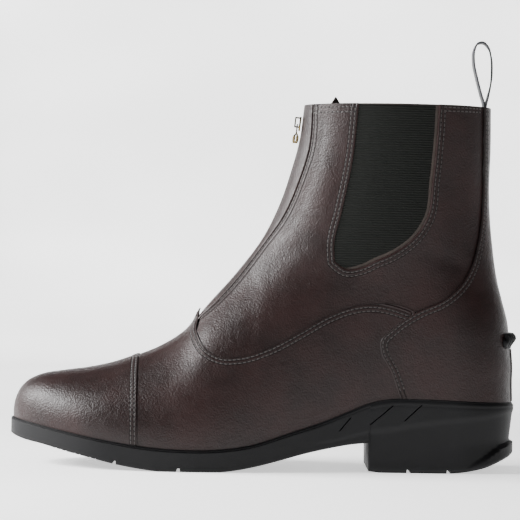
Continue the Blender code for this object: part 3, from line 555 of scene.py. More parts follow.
def skin_base(theta, v):
    """The boot's outer surface. theta runs round a ring from the front line over the lateral side. The
    half width is the sole's plan, closed over the foot by a power arch and blended into the shaft's
    ellipse."""
    theta, v = np.broadcast_arrays(np.asarray(theta, float), np.asarray(v, float))
    share = (1 - np.cos(theta)) / 2
    x, z = np.moveaxis(side_map(share, v), -1, 0)
    lateral = np.sin(theta) > 0
    top = np.interp(x, CROWN[:, 0], CROWN[:, 1])
    bottom = feather_height(x) + FOOT_GAP
    up = np.clip((z - bottom) / np.maximum(top - bottom, 1e-6), 0.0, 1.0)
    up = np.where(share == 0.0, 1.0, up)
    swell = 1 - (1 - np.clip(up / 0.3, 0.0, 1.0)) ** 2
    back = np.interp(z, BACK[:, 1], BACK[:, 0])
    front = np.interp(z, FRONT[:, 1], FRONT[:, 0])
    arch = np.sqrt(1 - up ** read(PLAN, "squareness", share_of(x)))
    arch = np.where(v == 0.0, 1.0, arch)
    ends = round_end(x - FRONT[0, 0], TOE_ROUND) * round_end(back - x, HEEL_ROUND)
    across = np.clip((x - front) / (back - front), 0.0, 1.0)
    ellipse = 2 * np.sqrt(across * (1 - across))
    shaft = ease((z / COLLAR_HEIGHT - 0.36) / 0.30)
    shift = centre_shift(x) * (1 - shaft)
    widths = []
    for side, bulge in ((-1, "lateral_bulge"), (1, "medial_bulge")):
        edge = foot_edge(x, side, FEATHER_INSET) + swell * read(PLAN, bulge, share_of(x)) - side * shift
        widths.append(edge * arch * ends * (1 - shaft) + COLLAR_HALF_WIDTH * ellipse * shaft)
    y = np.where(lateral, shift - widths[0], shift + widths[1])
    return np.stack([x, y, z], axis=-1)


def ways(theta, v):
    """The surface's two directions, along theta and along v, per unit of each."""
    round_way = (skin_base(theta + NUDGE, v) - skin_base(theta - NUDGE, v)) / (2 * NUDGE)
    high, low = np.clip(v + NUDGE, 0, 1), np.clip(v - NUDGE, 0, 1)
    up_way = (skin_base(theta, high) - skin_base(theta, low)) / (high - low)[..., None]
    return round_way, up_way


def normals(theta, v):
    """Outward unit normals, turned level at the feather line and at the collar."""
    normal = np.cross(*ways(theta, v))
    normal /= np.maximum(np.linalg.norm(normal, axis=-1, keepdims=True), 1e-12)
    normal[..., 2] *= ease(v / 0.03) * ease((1 - v) / 0.03)
    return normal / np.maximum(np.linalg.norm(normal, axis=-1, keepdims=True), 1e-12)


def crease_depth(points):
    """The sum of the creases: each is a bell across its line and a wider bell along it."""
    depth = np.zeros(points.shape[:-1])
    for crease in CREASES:
        centre = side_point(crease)
        dx, dz = points[..., 0] - centre[0], points[..., 2] - centre[1]
        turn = np.radians(crease.slope)
        along = dx * np.cos(turn) + dz * np.sin(turn)
        across = -dx * np.sin(turn) + dz * np.cos(turn) + along**2 / (8 * crease.length)
        depth += crease.depth * bell(along / crease.length * 1.4) * bell(across / crease.width)
    return depth


def skin(theta, v, offset, creased=True):
    """The outer surface moved outwards by offset, with the creases taken in."""
    theta, v = np.broadcast_arrays(np.asarray(theta, float), np.asarray(v, float))
    base = skin_base(theta, v)
    if creased:
        offset = offset - crease_depth(base)
    moved = base + np.asarray(offset)[..., None] * normals(theta, v)
    follow = feather_height(moved[..., 0]) - feather_height(base[..., 0])
    moved[..., 2] += follow * (1 - ease(v / 0.03))
    return moved


def ring_place(points):
    """(theta, v) on the lateral side of points given from the side, found by Newton's method."""
    points = np.atleast_2d(points)
    v = np.clip(points[:, 1] / COLLAR_HEIGHT, 0.02, 0.98)
    share = np.full(len(points), 0.4)
    for _ in range(60):
        here = side_map(share, v)
        by_share = (side_map(share + NUDGE, v) - here) / NUDGE
        by_v = (side_map(share, v + NUDGE) - here) / NUDGE
        miss = points - here
        det = by_share[:, 0] * by_v[:, 1] - by_share[:, 1] * by_v[:, 0]
        share += np.clip((miss[:, 0] * by_v[:, 1] - miss[:, 1] * by_v[:, 0]) / det, -0.1, 0.1)
        v += np.clip((by_share[:, 0] * miss[:, 1] - by_share[:, 1] * miss[:, 0]) / det, -0.1, 0.1)
        share, v = np.clip(share, 0.0, 1.0), np.clip(v, 0.0, 1.0 - NUDGE)
    return np.stack([np.arccos(1 - 2 * share), v], axis=-1)


def seam(rows, count, clear=0.0):
    """A seam's places on the rings, evenly spaced along it, moved to its right by clear."""
    line = along_line(side_line(rows), np.linspace(0.0, 1.0, count))
    way = np.gradient(line, axis=0)
    way /= np.linalg.norm(way, axis=1, keepdims=True)
    return ring_place(line + clear * np.stack([way[:, 1], -way[:, 0]], axis=-1))


def mirrored(places):
    """The same places on the medial side."""
    return np.stack([-places[..., 0], places[..., 1]], axis=-1)


def spread(places, shares):
    """Places at shares of the true length along a line of places."""
    run = run_of(skin_base(places[:, 0], places[:, 1]))
    return np.stack([np.interp(shares * run[-1], run, c) for c in places.T], axis=-1)


def front_v(height):
    """The ring whose front point is at this height."""
    return np.interp(height, FRONT[:, 1], np.linspace(0.0, 1.0, len(FRONT)))


def beside(places, distance):
    """A line of places moved sideways over the surface by a distance, to the left of its way as seen from
    outside."""
    theta, v = places[:, 0], places[:, 1]
    steps = max(1, int(abs(distance) / MM))
    for _ in range(steps):
        points = skin_base(theta, v)
        way = np.gradient(points, axis=0)
        way /= np.linalg.norm(way, axis=1, keepdims=True)
        side = np.cross(normals(theta, v), way) * distance / steps
        round_way, up_way = ways(theta, v)
        a, b = (round_way**2).sum(-1), (round_way * up_way).sum(-1)
        c = (up_way**2).sum(-1)
        p, q = (round_way * side).sum(-1), (up_way * side).sum(-1)
        det = a * c - b * b
        theta = theta + (p * c - q * b) / det
        v = np.clip(v + (a * q - b * p) / det, 0.0, 1.0)
    return np.stack([theta, v], axis=-1)


def arc_angle(distance, v):
    """The angle from the back line at which a ring has run this far round the heel."""
    theta = np.linspace(np.pi - 1.2, np.pi, 80)
    angles = []
    for one in np.atleast_1d(v):
        arc = run_of(skin_base(theta, np.full_like(theta, one)))
        angles.append(np.pi - np.interp(arc[-1] - distance, arc, theta))
    return np.array(angles)


def nearest(points, line):
    """Distance of each point from a line of points, worked out in blocks."""
    flat = points.reshape(-1, 3)
    out = np.empty(len(flat))
    for start in range(0, len(flat), 20000):
        block = flat[start : start + 20000]
        square = (block**2).sum(1)[:, None] + (line**2).sum(1)[None] - 2 * block @ line.T
        out[start : start + 20000] = np.sqrt(np.maximum(square.min(1), 0.0))
    return out.reshape(points.shape[:-1])


# Meshes

def put_mesh(name, points, quads, finish, body=BOOT, values=None, replaced=(), slot=None):
    """A smooth mesh object from points and quads. values holds one number a point under each name."""
    mesh = bpy.data.meshes.new(name)
    quads = np.asarray(quads, np.int32)
    mesh.vertices.add(len(points))
    mesh.vertices.foreach_set("co", np.ascontiguousarray(points, np.float32).ravel())
    mesh.loops.add(quads.size)
    mesh.loops.foreach_set("vertex_index", quads.ravel())
    mesh.polygons.add(len(quads))
    mesh.polygons.foreach_set("loop_start", np.arange(0, quads.size, 4, dtype=np.int32))
    mesh.update(calc_edges=True)
    for key, numbers in (values or {}).items():
        layer = mesh.attributes.new(key, "FLOAT", "POINT")
        layer.data.foreach_set("value", np.asarray(numbers, np.float32).ravel())
    work = bmesh.new()
    work.from_mesh(mesh)
    bmesh.ops.remove_doubles(work, verts=work.verts, dist=2e-7)
    bmesh.ops.dissolve_degenerate(work, edges=work.edges, dist=1e-7)
    bmesh.ops.recalc_face_normals(work, faces=work.faces)
    work.to_mesh(mesh)
    work.free()
    mesh.shade_smooth()
    mesh.set_sharp_from_angle(angle=1.0)
    for one in finish if isinstance(finish, (list, tuple)) else [finish]:
        mesh.materials.append(one)
    made = bpy.data.objects.new(name, mesh)
    bpy.context.scene.collection.objects.link(made)
    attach(made, body)
    if replaced:
        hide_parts(*replaced)
    return made


def grid_quads(rows, columns, start=0, closed=False):
    """Quads of a grid numbered row by row. closed joins the last row to the first."""
    i = np.arange(rows if closed else rows - 1)[:, None]
    j = np.arange(columns - 1)[None, :]
    a, b = i * columns + j, (i + 1) % rows * columns + j
    return start + np.stack([a, b, b + 1, a + 1], axis=-1).reshape(-1, 4)


def sheet_mesh(inner, outer, closed=False):
    """Points and quads of the solid between two grids."""
    rows, columns = inner.shape[:2]
    size = rows * columns
    points = np.concatenate([inner.reshape(-1, 3), outer.reshape(-1, 3)])
    quads = [grid_quads(rows, columns, 0, closed), grid_quads(rows, columns, size, closed)]
    index = np.arange(size).reshape(rows, columns)
    borders = [index[:, 0], index[:, -1]] + ([] if closed else [index[0], index[-1]])
    for line in borders:
        a, b = (line, np.roll(line, -1)) if closed else (line[:-1], line[1:])
        quads.append(np.stack([a, b, b + size, a + size], axis=-1))
    return points, np.concatenate(quads)


def tube_mesh(sections, closed):
    """Points and quads of equal closed sections joined in a row, or in a ring."""
    count, size = sections.shape[:2]
    i = np.arange(count if closed else count - 1)[:, None]
    j = np.arange(size)[None, :]
    k = (j + 1) % size
    a, b = i * size, (i + 1) % count * size
    quads = np.stack([a + j, a + k, b + k, b + j], axis=-1).reshape(-1, 4)
    return sections.reshape(-1, 3), quads


def leather_sheet(name, places, low, high, finish, edges, replaced=(), extra=None, slot="leather"):
    """A piece of leather over these places, its cut edges rounded off and its distance from them kept."""
    theta, v = places[..., 0], places[..., 1]
    base = skin_base(theta, v)
    away = np.full(theta.shape, 0.05)
    for line in edges:
        away = np.minimum(away, nearest(base, skin_base(*spread(line, np.linspace(0, 1, 500)).T)))
    roll = (high - low) * 0.7 * (1 - round_end(away, 0.0009))
    lift = high - roll + (extra(base) if extra else 0.0)
    outer = skin(theta, v, lift)
    inner = skin(theta, v, np.full(theta.shape, low) + (extra(base) if extra else 0.0))
    points, quads = sheet_mesh(inner, outer)
    values = {"edge": np.concatenate([away.ravel(), away.ravel()])}
    return put_mesh(name, points, quads, finish, values=values, replaced=replaced, slot=slot)


def pods(centres, along, out, sizes, rings=7, sides=6):
    """Points and quads of one small pod at each centre: an ellipsoid with its three sizes given as
    half lengths along, across and out. Its radius follows the square root of 1 - t squared."""
    t = np.linspace(-1.0, 1.0, rings)
    turn = np.linspace(0.0, 2 * np.pi, sides, endpoint=False)
    fat = np.sqrt(np.maximum(1 - np.abs(t) ** 2.6, 0.0))
    local = np.stack(
        np.broadcast_arrays(t[:, None], fat[:, None] * np.cos(turn), fat[:, None] * np.sin(turn)), axis=-1
    )
    across = np.cross(out, along)
    shape = local.reshape(-1, 3) * np.asarray(sizes)
    points = (
        centres[:, None]
        + shape[None, :, 0:1] * along[:, None]
        + shape[None, :, 1:2] * across[:, None]
        + shape[None, :, 2:3] * out[:, None]
    )
    i, j = np.arange(rings - 1)[:, None], np.arange(sides)[None, :]
    k = (j + 1) % sides
    near, far = i * sides, (i + 1) * sides
    one = np.stack([near + j, near + k, far + k, far + j], axis=-1).reshape(-1, 4)
    starts = np.arange(len(centres))[:, None, None] * rings * sides
    return points.reshape(-1, 3), (one[None] + starts).reshape(-1, 4)


def stitch_rows(name, lines, offset, thread, hole_shade, settings, extra=None):
    """Rows of stitches along lines of places: thread pods, with a dark pod of painted shade between each two
    where the thread goes into the leather.
    """
    threads, holes = [], []
    for places in lines:
        run = run_of(skin_base(places[:, 0], places[:, 1]))
        count = max(2, int(run[-1] / settings.stitch))
        middle = spread(places, (np.arange(count) + 0.5) / count)
        ends = spread(places, np.arange(count + 1) / count)
        for at, store in ((middle, threads), (ends, holes)):
            base = skin_base(at[:, 0], at[:, 1])
            lift = offset + (extra(base) if extra else 0.0)
            points = skin(at[:, 0], at[:, 1], np.broadcast_to(lift, len(at)))
            way = np.gradient(points, axis=0)
            way /= np.linalg.norm(way, axis=1, keepdims=True)
            store.append((points, way, normals(at[:, 0], at[:, 1])))
    # thread pods, then dark flat pods of painted shade where the thread goes into the leather
    for store, suffix, finish, sizes in (
        (threads, "threads", thread, (0.40 * settings.stitch, 0.00034, 0.00024)),
        (holes, "holes", hole_shade, (0.00052, 0.00042, 0.00008)),
    ):
        centres, along, out = (np.concatenate([row[k] for row in store]) for k in range(3))
        points, quads = pods(centres, along, out, sizes)
        put_mesh(name + "_" + suffix, points, quads, finish, slot="leather")


# Shader maths

class Wire:
    """A shader socket. Arithmetic on it adds Math nodes, and make() adds any other node."""

    def __init__(self, tree, out=None):
        self.tree, self.out = tree, out

    def make(self, kind, settings, sockets, output=0):
        node = self.tree.nodes.new(kind)
        for key, value in settings.items():
            setattr(node, key, value)
        for key, value in sockets.items():
            if isinstance(value, Wire):
                self.tree.links.new(value.out, node.inputs[key])
            else:
                node.inputs[key].default_value = value
        return Wire(self.tree, node.outputs[output])

    def maths(self, operation, *values):
        return self.make("ShaderNodeMath", {"operation": operation}, dict(enumerate(values)))

    def __add__(self, other):
        return self.maths("ADD", self, other)

    __radd__ = __add__

    def __sub__(self, other):
        return self.maths("SUBTRACT", self, other)

    def __rsub__(self, other):
        return self.maths("SUBTRACT", other, self)

    def __mul__(self, other):
        return self.maths("MULTIPLY", self, other)

    __rmul__ = __mul__

    def absolute(self):
        return self.maths("ABSOLUTE", self)

    def rise(self, low, high):
        """Goes smoothly from 0 at low to 1 at high."""
        ends = {"Value": self, "From Min": low, "From Max": high}
        return self.make("ShaderNodeMapRange", {"interpolation_type": "SMOOTHSTEP"}, ends)

    def band(self, middle, half):
        """1 on the middle value, 0 half away from it and beyond."""
        return 1 - (self - middle).absolute().rise(0.0, half)

    def wave(self, pitch):
        """A cosine of this value that repeats at every pitch, between 0 and 1."""
        return self.maths("COSINE", self * (2 * np.pi / pitch)) * 0.5 + 0.5

    def noise(self, scale, detail=3.0, roughness=0.55):
        sockets = {"Vector": self, "Scale": scale, "Detail": detail, "Roughness": roughness}
        return self.make("ShaderNodeTexNoise", {}, sockets)

    def cells(self, scale):
        return self.make("ShaderNodeTexVoronoi", {"feature": "SMOOTH_F1"}, {"Vector": self, "Scale": scale})

    def axis(self, output):
        return self.make("ShaderNodeSeparateXYZ", {}, {"Vector": self}, output)

    def mixed(self, first, second):
        """The first colour where this is 0, the second where it is 1."""
        return self.make("ShaderNodeMix", {"data_type": "RGBA"}, {0: self, 6: first, 7: second}, 2)


def tone(colour, factor):
    return tuple(channel * factor for channel in colour[:3]) + (1.0,)


def finish_material(name, build, **constants):
    """A material whose build function returns colour, roughness, height and the height's scale."""
    made = bpy.data.materials.new(name)
    made.use_nodes = True
    tree = made.node_tree
    shader = tree.nodes["Principled BSDF"]
    place = Wire(tree).make("ShaderNodeTexCoord", {}, {}, "Object")
    colour, roughness, height, scale = build(place)
    tree.links.new(colour.out, shader.inputs["Base Color"])
    tree.links.new(roughness.out, shader.inputs["Roughness"])
    bump = place.make("ShaderNodeBump", {}, {"Height": height, "Distance": scale, "Strength": 1.0})
    tree.links.new(bump.out, shader.inputs["Normal"])
    for key, value in constants.items():
        shader.inputs[key.replace("_", " ")].default_value = value
    return made


def attribute(wire, name):
    return wire.make("ShaderNodeAttribute", {"attribute_name": name}, {}, "Fac")


def leather_material(name, settings, stitched=True, cut=0.25):
    """Smooth leather: fine grain cells, pores and slow changes of tone and gloss, with furrows under the
    stitch rows whose darkening is painted shade. cut is the tone of the band along its cut edge: below 1 it
    darkens the band, above 1 it paints a highlight on it."""

    def build(place):
        grain = place.cells(1150.0)
        pores = place.noise(2600.0, 2.0)
        blotch = place.noise(240.0, 4.0)
        slow = place.noise(38.0, 4.0)
        colour = slow.rise(0.30, 0.72).mixed(tone(settings.colour, 0.70), tone(settings.colour, 1.35))
        height = grain * 0.5 + pores * 0.35 + blotch * 0.55 + slow * 0.8
        rough = settings.roughness + 0.14 * (slow - 0.5) + 0.12 * (pores - 0.5) + 0.30 * (blotch - 0.5)
        if stitched:
            edge = attribute(place, "edge")
            rows = edge.band(settings.first_row, 0.0007) + edge.band(settings.second_row, 0.0007)
            # painted shade: the leather is darkened in the furrows of the stitch rows
            colour = (rows * 0.55).mixed(colour, tone(settings.colour, 0.35))
            # the band along the cut edge: cut below 1 darkens it; the quarters' cut of 2.2 paints a highlight
            # on it
            colour = edge.band(0.0, 0.0006).mixed(colour, tone(settings.colour, cut))
            height = height - rows * 2.2
            rough = rough + rows * 0.12
        return colour, rough, height, settings.grain

    return finish_material(name, build, Coat_Weight=0.04, Coat_Roughness=0.40, Specular_IOR_Level=0.28)


def plain_material(name, colour, rough, scale, height, **constants):
    """A moulded or woven finish: noise of one scale in its tone, gloss and relief."""

    def build(place):
        fine = place.noise(scale, 4.0)
        slow = place.noise(scale / 30, 3.0)
        mixed = slow.rise(0.3, 0.7).mixed(tone(colour, 0.8), tone(colour, 1.25))
        return mixed, rough + 0.14 * (fine - 0.5) + 0.10 * (slow - 0.5), fine, height

    return finish_material(name, build, **constants)


def elastic_material(settings):
    """Ribbed elastic: ribs run level round the ankle, crossed by the fine warp of the weave. Its stripes of
    tone are painted shade in the grooves between ribs and a painted highlight on their crests.
    """

    def build(place):
        up = place.axis("Z")
        ribs = up.wave(settings.rib)
        warp = attribute(place, "weave").wave(0.0006)
        fuzz = place.noise(2500.0, 2.0)
        height = ribs * 1.0 + warp * 0.25 + fuzz * 0.3
        # painted shade and highlight: darker in the grooves between ribs, lighter on their crests; the fuzz
        # is the yarn's own mottling
        colour = (ribs * 0.8 + fuzz * 0.3).mixed(tone(settings.colour, 0.45), tone(settings.colour, 1.7))
        return colour, 0.80 + 0.1 * (fuzz - 0.5), height, 0.00022

    constants = {"Sheen_Weight": 0.04, "Sheen_Roughness": 0.5, "Specular_IOR_Level": 0.15}
    return finish_material("ribbed elastic", build, **constants)


def webbing_material():
    """Thin woven tape: a fine herringbone of threads."""

    def build(place):
        up, deep = place.axis("Z"), place.axis("Y")
        weave = (up + deep * 0.6).wave(0.0009) * (up - deep * 0.6).wave(0.0009)
        fuzz = place.noise(2500.0, 2.0)
        colour = (weave * 0.8 + fuzz * 0.25).mixed((0.006, 0.006, 0.008, 1.0), (0.040, 0.042, 0.055, 1.0))
        return colour, 0.62 + 0.1 * (fuzz - 0.5), weave + fuzz * 0.3, 0.00015

    return finish_material("loop webbing", build, Sheen_Weight=0.2)


def brass_material(settings):
    """Satin brass with a little tarnish in patches."""

    def build(place):
        patch, fine = place.noise(420.0, 4.0), place.noise(5000.0, 2.0)
        colour = patch.rise(0.35, 0.75).mixed(tone(settings.colour, 1.0), tone(settings.colour, 0.62))
        return colour, 0.24 + 0.18 * (patch - 0.5) + 0.06 * (fine - 0.5), fine, 0.00002

    return finish_material("zip brass", build, Metallic=1.0)


def rubber_material(settings):
    """Moulded rubber: a fine matt skin with shallow flow marks."""

    def build(place):
        fine, slow = place.noise(1800.0, 3.0), place.noise(45.0, 4.0)
        colour = slow.rise(0.3, 0.7).mixed(tone(settings.colour, 0.85), tone(settings.colour, 1.3))
        return colour, 0.54 + 0.12 * (slow - 0.5) + 0.10 * (fine - 0.5), fine + slow * 1.5, 0.00008

    return finish_material("sole rubber", build, Specular_IOR_Level=0.22)


# Offsets of the leather pieces from the surface, in metres
CAP = (-0.0009, 0.0006)
COUNTER = (-0.0009, 0.00045)
VAMP = (-0.0009, 0.0)
PLACKET = (-0.0011, -0.0001)
QUARTER = (-0.0021, -0.0009)
LINING = (-0.0033, -0.0022)
GORE = (-0.0021, -0.0015)
UNDER = 0.0018  # how far a piece reaches under its neighbour
PEAK_LIFT = 0.0023
PEAK_REACH = 0.0070
QUARTER_LIFT = 0.00085
QUARTER_LIFT_REACH = 0.009
PLACKET_INNER = 0.0034
PLACKET_FOOT = 0.024  # how far the placket reaches under the vamp's point, as a share of the ring's way up


def peak_lift(points):
    """The vamp's point stands off the leather behind it, as a bell round its tip."""
    tip = skin_base(0.0, front_v(VAMP_PEAK.up * COLLAR_HEIGHT))
    return PEAK_LIFT * bell(np.linalg.norm(points - tip, axis=-1) / PEAK_REACH)


def quarter_lift(points):
    """The quarter comes level with the placket where the two meet."""
    line = seam(PLACKET_SEAM, 120)
    both = np.concatenate([skin_base(line[:, 0], line[:, 1]), skin_base(-line[:, 0], line[:, 1])])
    return QUARTER_LIFT * (1 - ease(nearest(points, both) / QUARTER_LIFT_REACH))


def cap_edge(count, clear=0.0):
    """The toe cap's rear edge from the lateral feather line over the ridge to the medial one."""
    line = seam(CAP_EDGE, 40, clear)
    line[0] = (0.0, line[0, 1])
    top = side_line(CAP_EDGE)[0]
    line[0, 1] = np.interp(top[0] - clear, FRONT[:, 0], np.linspace(0.0, 1.0, len(FRONT)))
    line[-1, 1] = 0.0
    half = line[::-1]
    return spread(np.concatenate([half, mirrored(half[:-1][::-1])]), np.linspace(0.0, 1.0, count))


def vamp_top(count):
    """The vamp's upper edge, from the lateral counter over the peak to the medial one."""
    edge = seam(VAMP_EDGE, 60)[::-1]
    peak = np.array([[0.0, front_v(VAMP_PEAK.up * COLLAR_HEIGHT)]])
    return spread(np.concatenate([edge, peak, mirrored(edge[::-1])]), np.linspace(0.0, 1.0, count))


def counter_front(count, clear=0.0, top=0.999):
    """The counter's front edge from the feather line up, as far as a share of the collar's height."""
    line = seam(COUNTER_EDGE, 120, clear)
    line[0, 1] = 0.0
    height = side_map((1 - np.cos(line[:, 0])) / 2, line[:, 1])[:, 1]
    kept = line[height <= top * COLLAR_HEIGHT]
    return spread(kept, np.linspace(0.0, 1.0, count))


class BOOT_OT_sole(bpy.types.Operator):
    """Moulded sole with its heel: a ring of side profiles, closed below by the grooved tread"""

    bl_idname = "boot.sole"
    bl_label = "Sole"

    def execute(self, context):
        settings = context.scene.boot_sole
        rubber = rubber_material(settings)
        breast = BREAST_PLACE / SOLE_LENGTH
        shares = np.sort(np.concatenate([crowd(230), [breast - 0.0003, breast + 0.0003]]))
        levels = crowd(46)
        share, level = shares[:, None], levels[None, :]
        low = underside_height(TOE_X + share * SOLE_LENGTH)
        high = feather_height(TOE_X + share * SOLE_LENGTH)
        z = low + level * (high - low)
        inset = settings.waist * self.side_inset(share, level, z)
        rows = []
        for side, keep in ((-1, slice(None)), (1, slice(-2, 0, -1))):
            x, y = plan_point(np.broadcast_to(share, inset.shape), side, inset)
            rows.append(np.stack([x, y, np.broadcast_to(z, x.shape)], axis=-1)[keep])
        ring = np.concatenate(rows)
        count, size = len(shares), ring.shape[1]
        total = len(ring)
        points = ring.reshape(-1, 3)
        quads = [grid_quads(total, size, 0, True)]
        i = np.arange(count - 1)
        lateral, medial = i, (total - i) % total
        for column_index in (0, size - 1):
            a, b = lateral * size + column_index, (lateral + 1) * size + column_index
            c, d = ((total - i - 1) % total) * size + column_index, medial * size + column_index
            quads.append(np.stack([a, b, c, d], axis=-1))
        quads = np.concatenate(quads)
        made = put_mesh("sole_rubber", points, quads, rubber, replaced=("sole",), slot="rubber")
        self.cut_tread(made, settings)
        return {"FINISHED"}

    @staticmethod
    def side_inset(share, level, z):
        """Inset of the side in shares of the waist: a hollow under the ridge that deepens to the heel's
        back, a flare below it, rounded bottom and top edges, and a thin groove under the top."""
        back = ease((share - 0.80) / 0.17)
        rear = ease((share - 0.58) / 0.10)
        ridge = SEAT_HEIGHT * read(RIDGE, "up", np.maximum(share, RIDGE[0].along))
        under = ridge - z
        hollow = rear * 0.34 * ease(under / 0.0022) * (1 - back)
        hollow = hollow + back * (0.20 * ease(under / 0.003) + 0.75 * np.clip(under / 0.016, 0.0, 1.0))
        flare = SEAT_HEIGHT * read(FLARE, "up", np.maximum(share, FLARE[0].along))
        hollow = hollow * (1 - 0.9 * ease((flare - z) / 0.0012) * ease((share - 0.895) / 0.05))
        bottom = 0.50 * bell(level / 0.03)
        top = 0.40 * bell((level - 1.0) / 0.03) + 0.20 * bell((level - 0.92) / 0.016) * (1 - 0.6 * rear)
        return hollow + bottom + top

    @staticmethod
    def cut_tread(sole, settings):
        """Grooves across the tread and slanting slashes in the sides, cut in one go."""
        points, faces = [], []

        def add(corners, turns):
            faces.extend(tuple(len(points) + k for k in face) for face in turns)
            points.extend(map(tuple, corners))

        sizes = [(share, settings.groove, 0.0020, None) for share in EDGE_GROOVES]
        sizes += [(share, settings.groove, 0.0020, TREAD_MARGIN) for share in INNER_GROOVES]
        sizes += [(share, 0.0013, 0.0006, None) for share in SERRATIONS]
        for share, wide, deep, margin in sizes:
            x = TOE_X + share * SOLE_LENGTH
            roof = float(underside_height(np.array([x]))[0]) + deep
            ends = [side * BALL_WIDTH for side in (-1, 1)]
            if margin:
                ends = [float(plan_point(np.array([share]), side, margin)[1][0]) for side in (-1, 1)]
            halves = ((-0.004, wide / 2), (roof, 0.6 * wide / 2))
            box = [(x + sx * half, y, z) for z, half in halves for y in ends for sx in (-1, 1)]
            add(box, [(0, 1, 3, 2), (4, 6, 7, 5), (0, 4, 5, 1), (2, 3, 7, 6), (0, 2, 6, 4), (1, 5, 7, 3)])
        for upper_end, lower_end in SLASHES:
            high, low = side_point(upper_end, SEAT_HEIGHT), side_point(lower_end, SEAT_HEIGHT)
            way = (high - low) / np.linalg.norm(high - low)
            across = np.array([way[1], -way[0]]) * SLASH_WIDTH / 2
            for side in (-1, 1):
                corners = []
                for end in (low, high):
                    edge = float(plan_point(np.array([share_of(end[0])]), side, 0.0)[1][0])
                    free = edge + side * SLASH_DEPTH
                    corners.append((end[0] - across[0], free, end[1] - across[1]))
                    corners.append((end[0], edge - side * SLASH_DEPTH, end[1]))
                    corners.append((end[0] + across[0], free, end[1] + across[1]))
                turns = [(0, 1, 2), (3, 5, 4), (0, 3, 4, 1), (1, 4, 5, 2), (2, 5, 3, 0)]
                add(corners, [turn[::-side] for turn in turns])
        mesh = bpy.data.meshes.new("tread_cutter")
        mesh.from_pydata(points, [], faces)
        work = bmesh.new()
        work.from_mesh(mesh)
        bmesh.ops.recalc_face_normals(work, faces=work.faces)
        work.to_mesh(mesh)
        work.free()
        cutter = bpy.data.objects.new("tread_cutter", mesh)
        bpy.context.scene.collection.objects.link(cutter)
        modifier = sole.modifiers.new("tread", "BOOLEAN")
        modifier.operation, modifier.object = "DIFFERENCE", cutter
        bpy.context.view_layer.objects.active = sole
        bpy.ops.object.modifier_apply(modifier=modifier.name)
        bpy.data.objects.remove(cutter)
        sole.data.set_sharp_from_angle(angle=0.6)


class BOOT_OT_lining(bpy.types.Operator):
    """Inner wall of the upper, and the insole under it"""

    bl_idname = "boot.lining"
    bl_label = "Lining"

    def execute(self, context):
        lining = plain_material("lining", (0.050, 0.036, 0.030), 0.75, 1500.0, 0.00010, Sheen_Weight=0.1)
        theta = np.linspace(0.0, 2 * np.pi, 150, endpoint=False)[:, None]
        v = np.linspace(0.0, 1.0, 76)[None, :]
        shape = np.broadcast(theta, v).shape
        rim = 0.0007 * bell((1 - v) / 0.006)
        outer = skin(theta, v, np.broadcast_to(LINING[1], shape))
        inner = skin(theta, v, np.broadcast_to(LINING[0], shape) + rim)
        points, quads = sheet_mesh(inner, outer, True)
        put_mesh("upper_lining", points, quads, lining, replaced=("upper",), slot="lining")
        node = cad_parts["insole"]
        node.data.materials.clear()
        cloth = plain_material("insole cloth", (0.040, 0.032, 0.028), 0.85, 2200.0, 0.00012)
        node.data.materials.append(cloth)
        return {"FINISHED"}


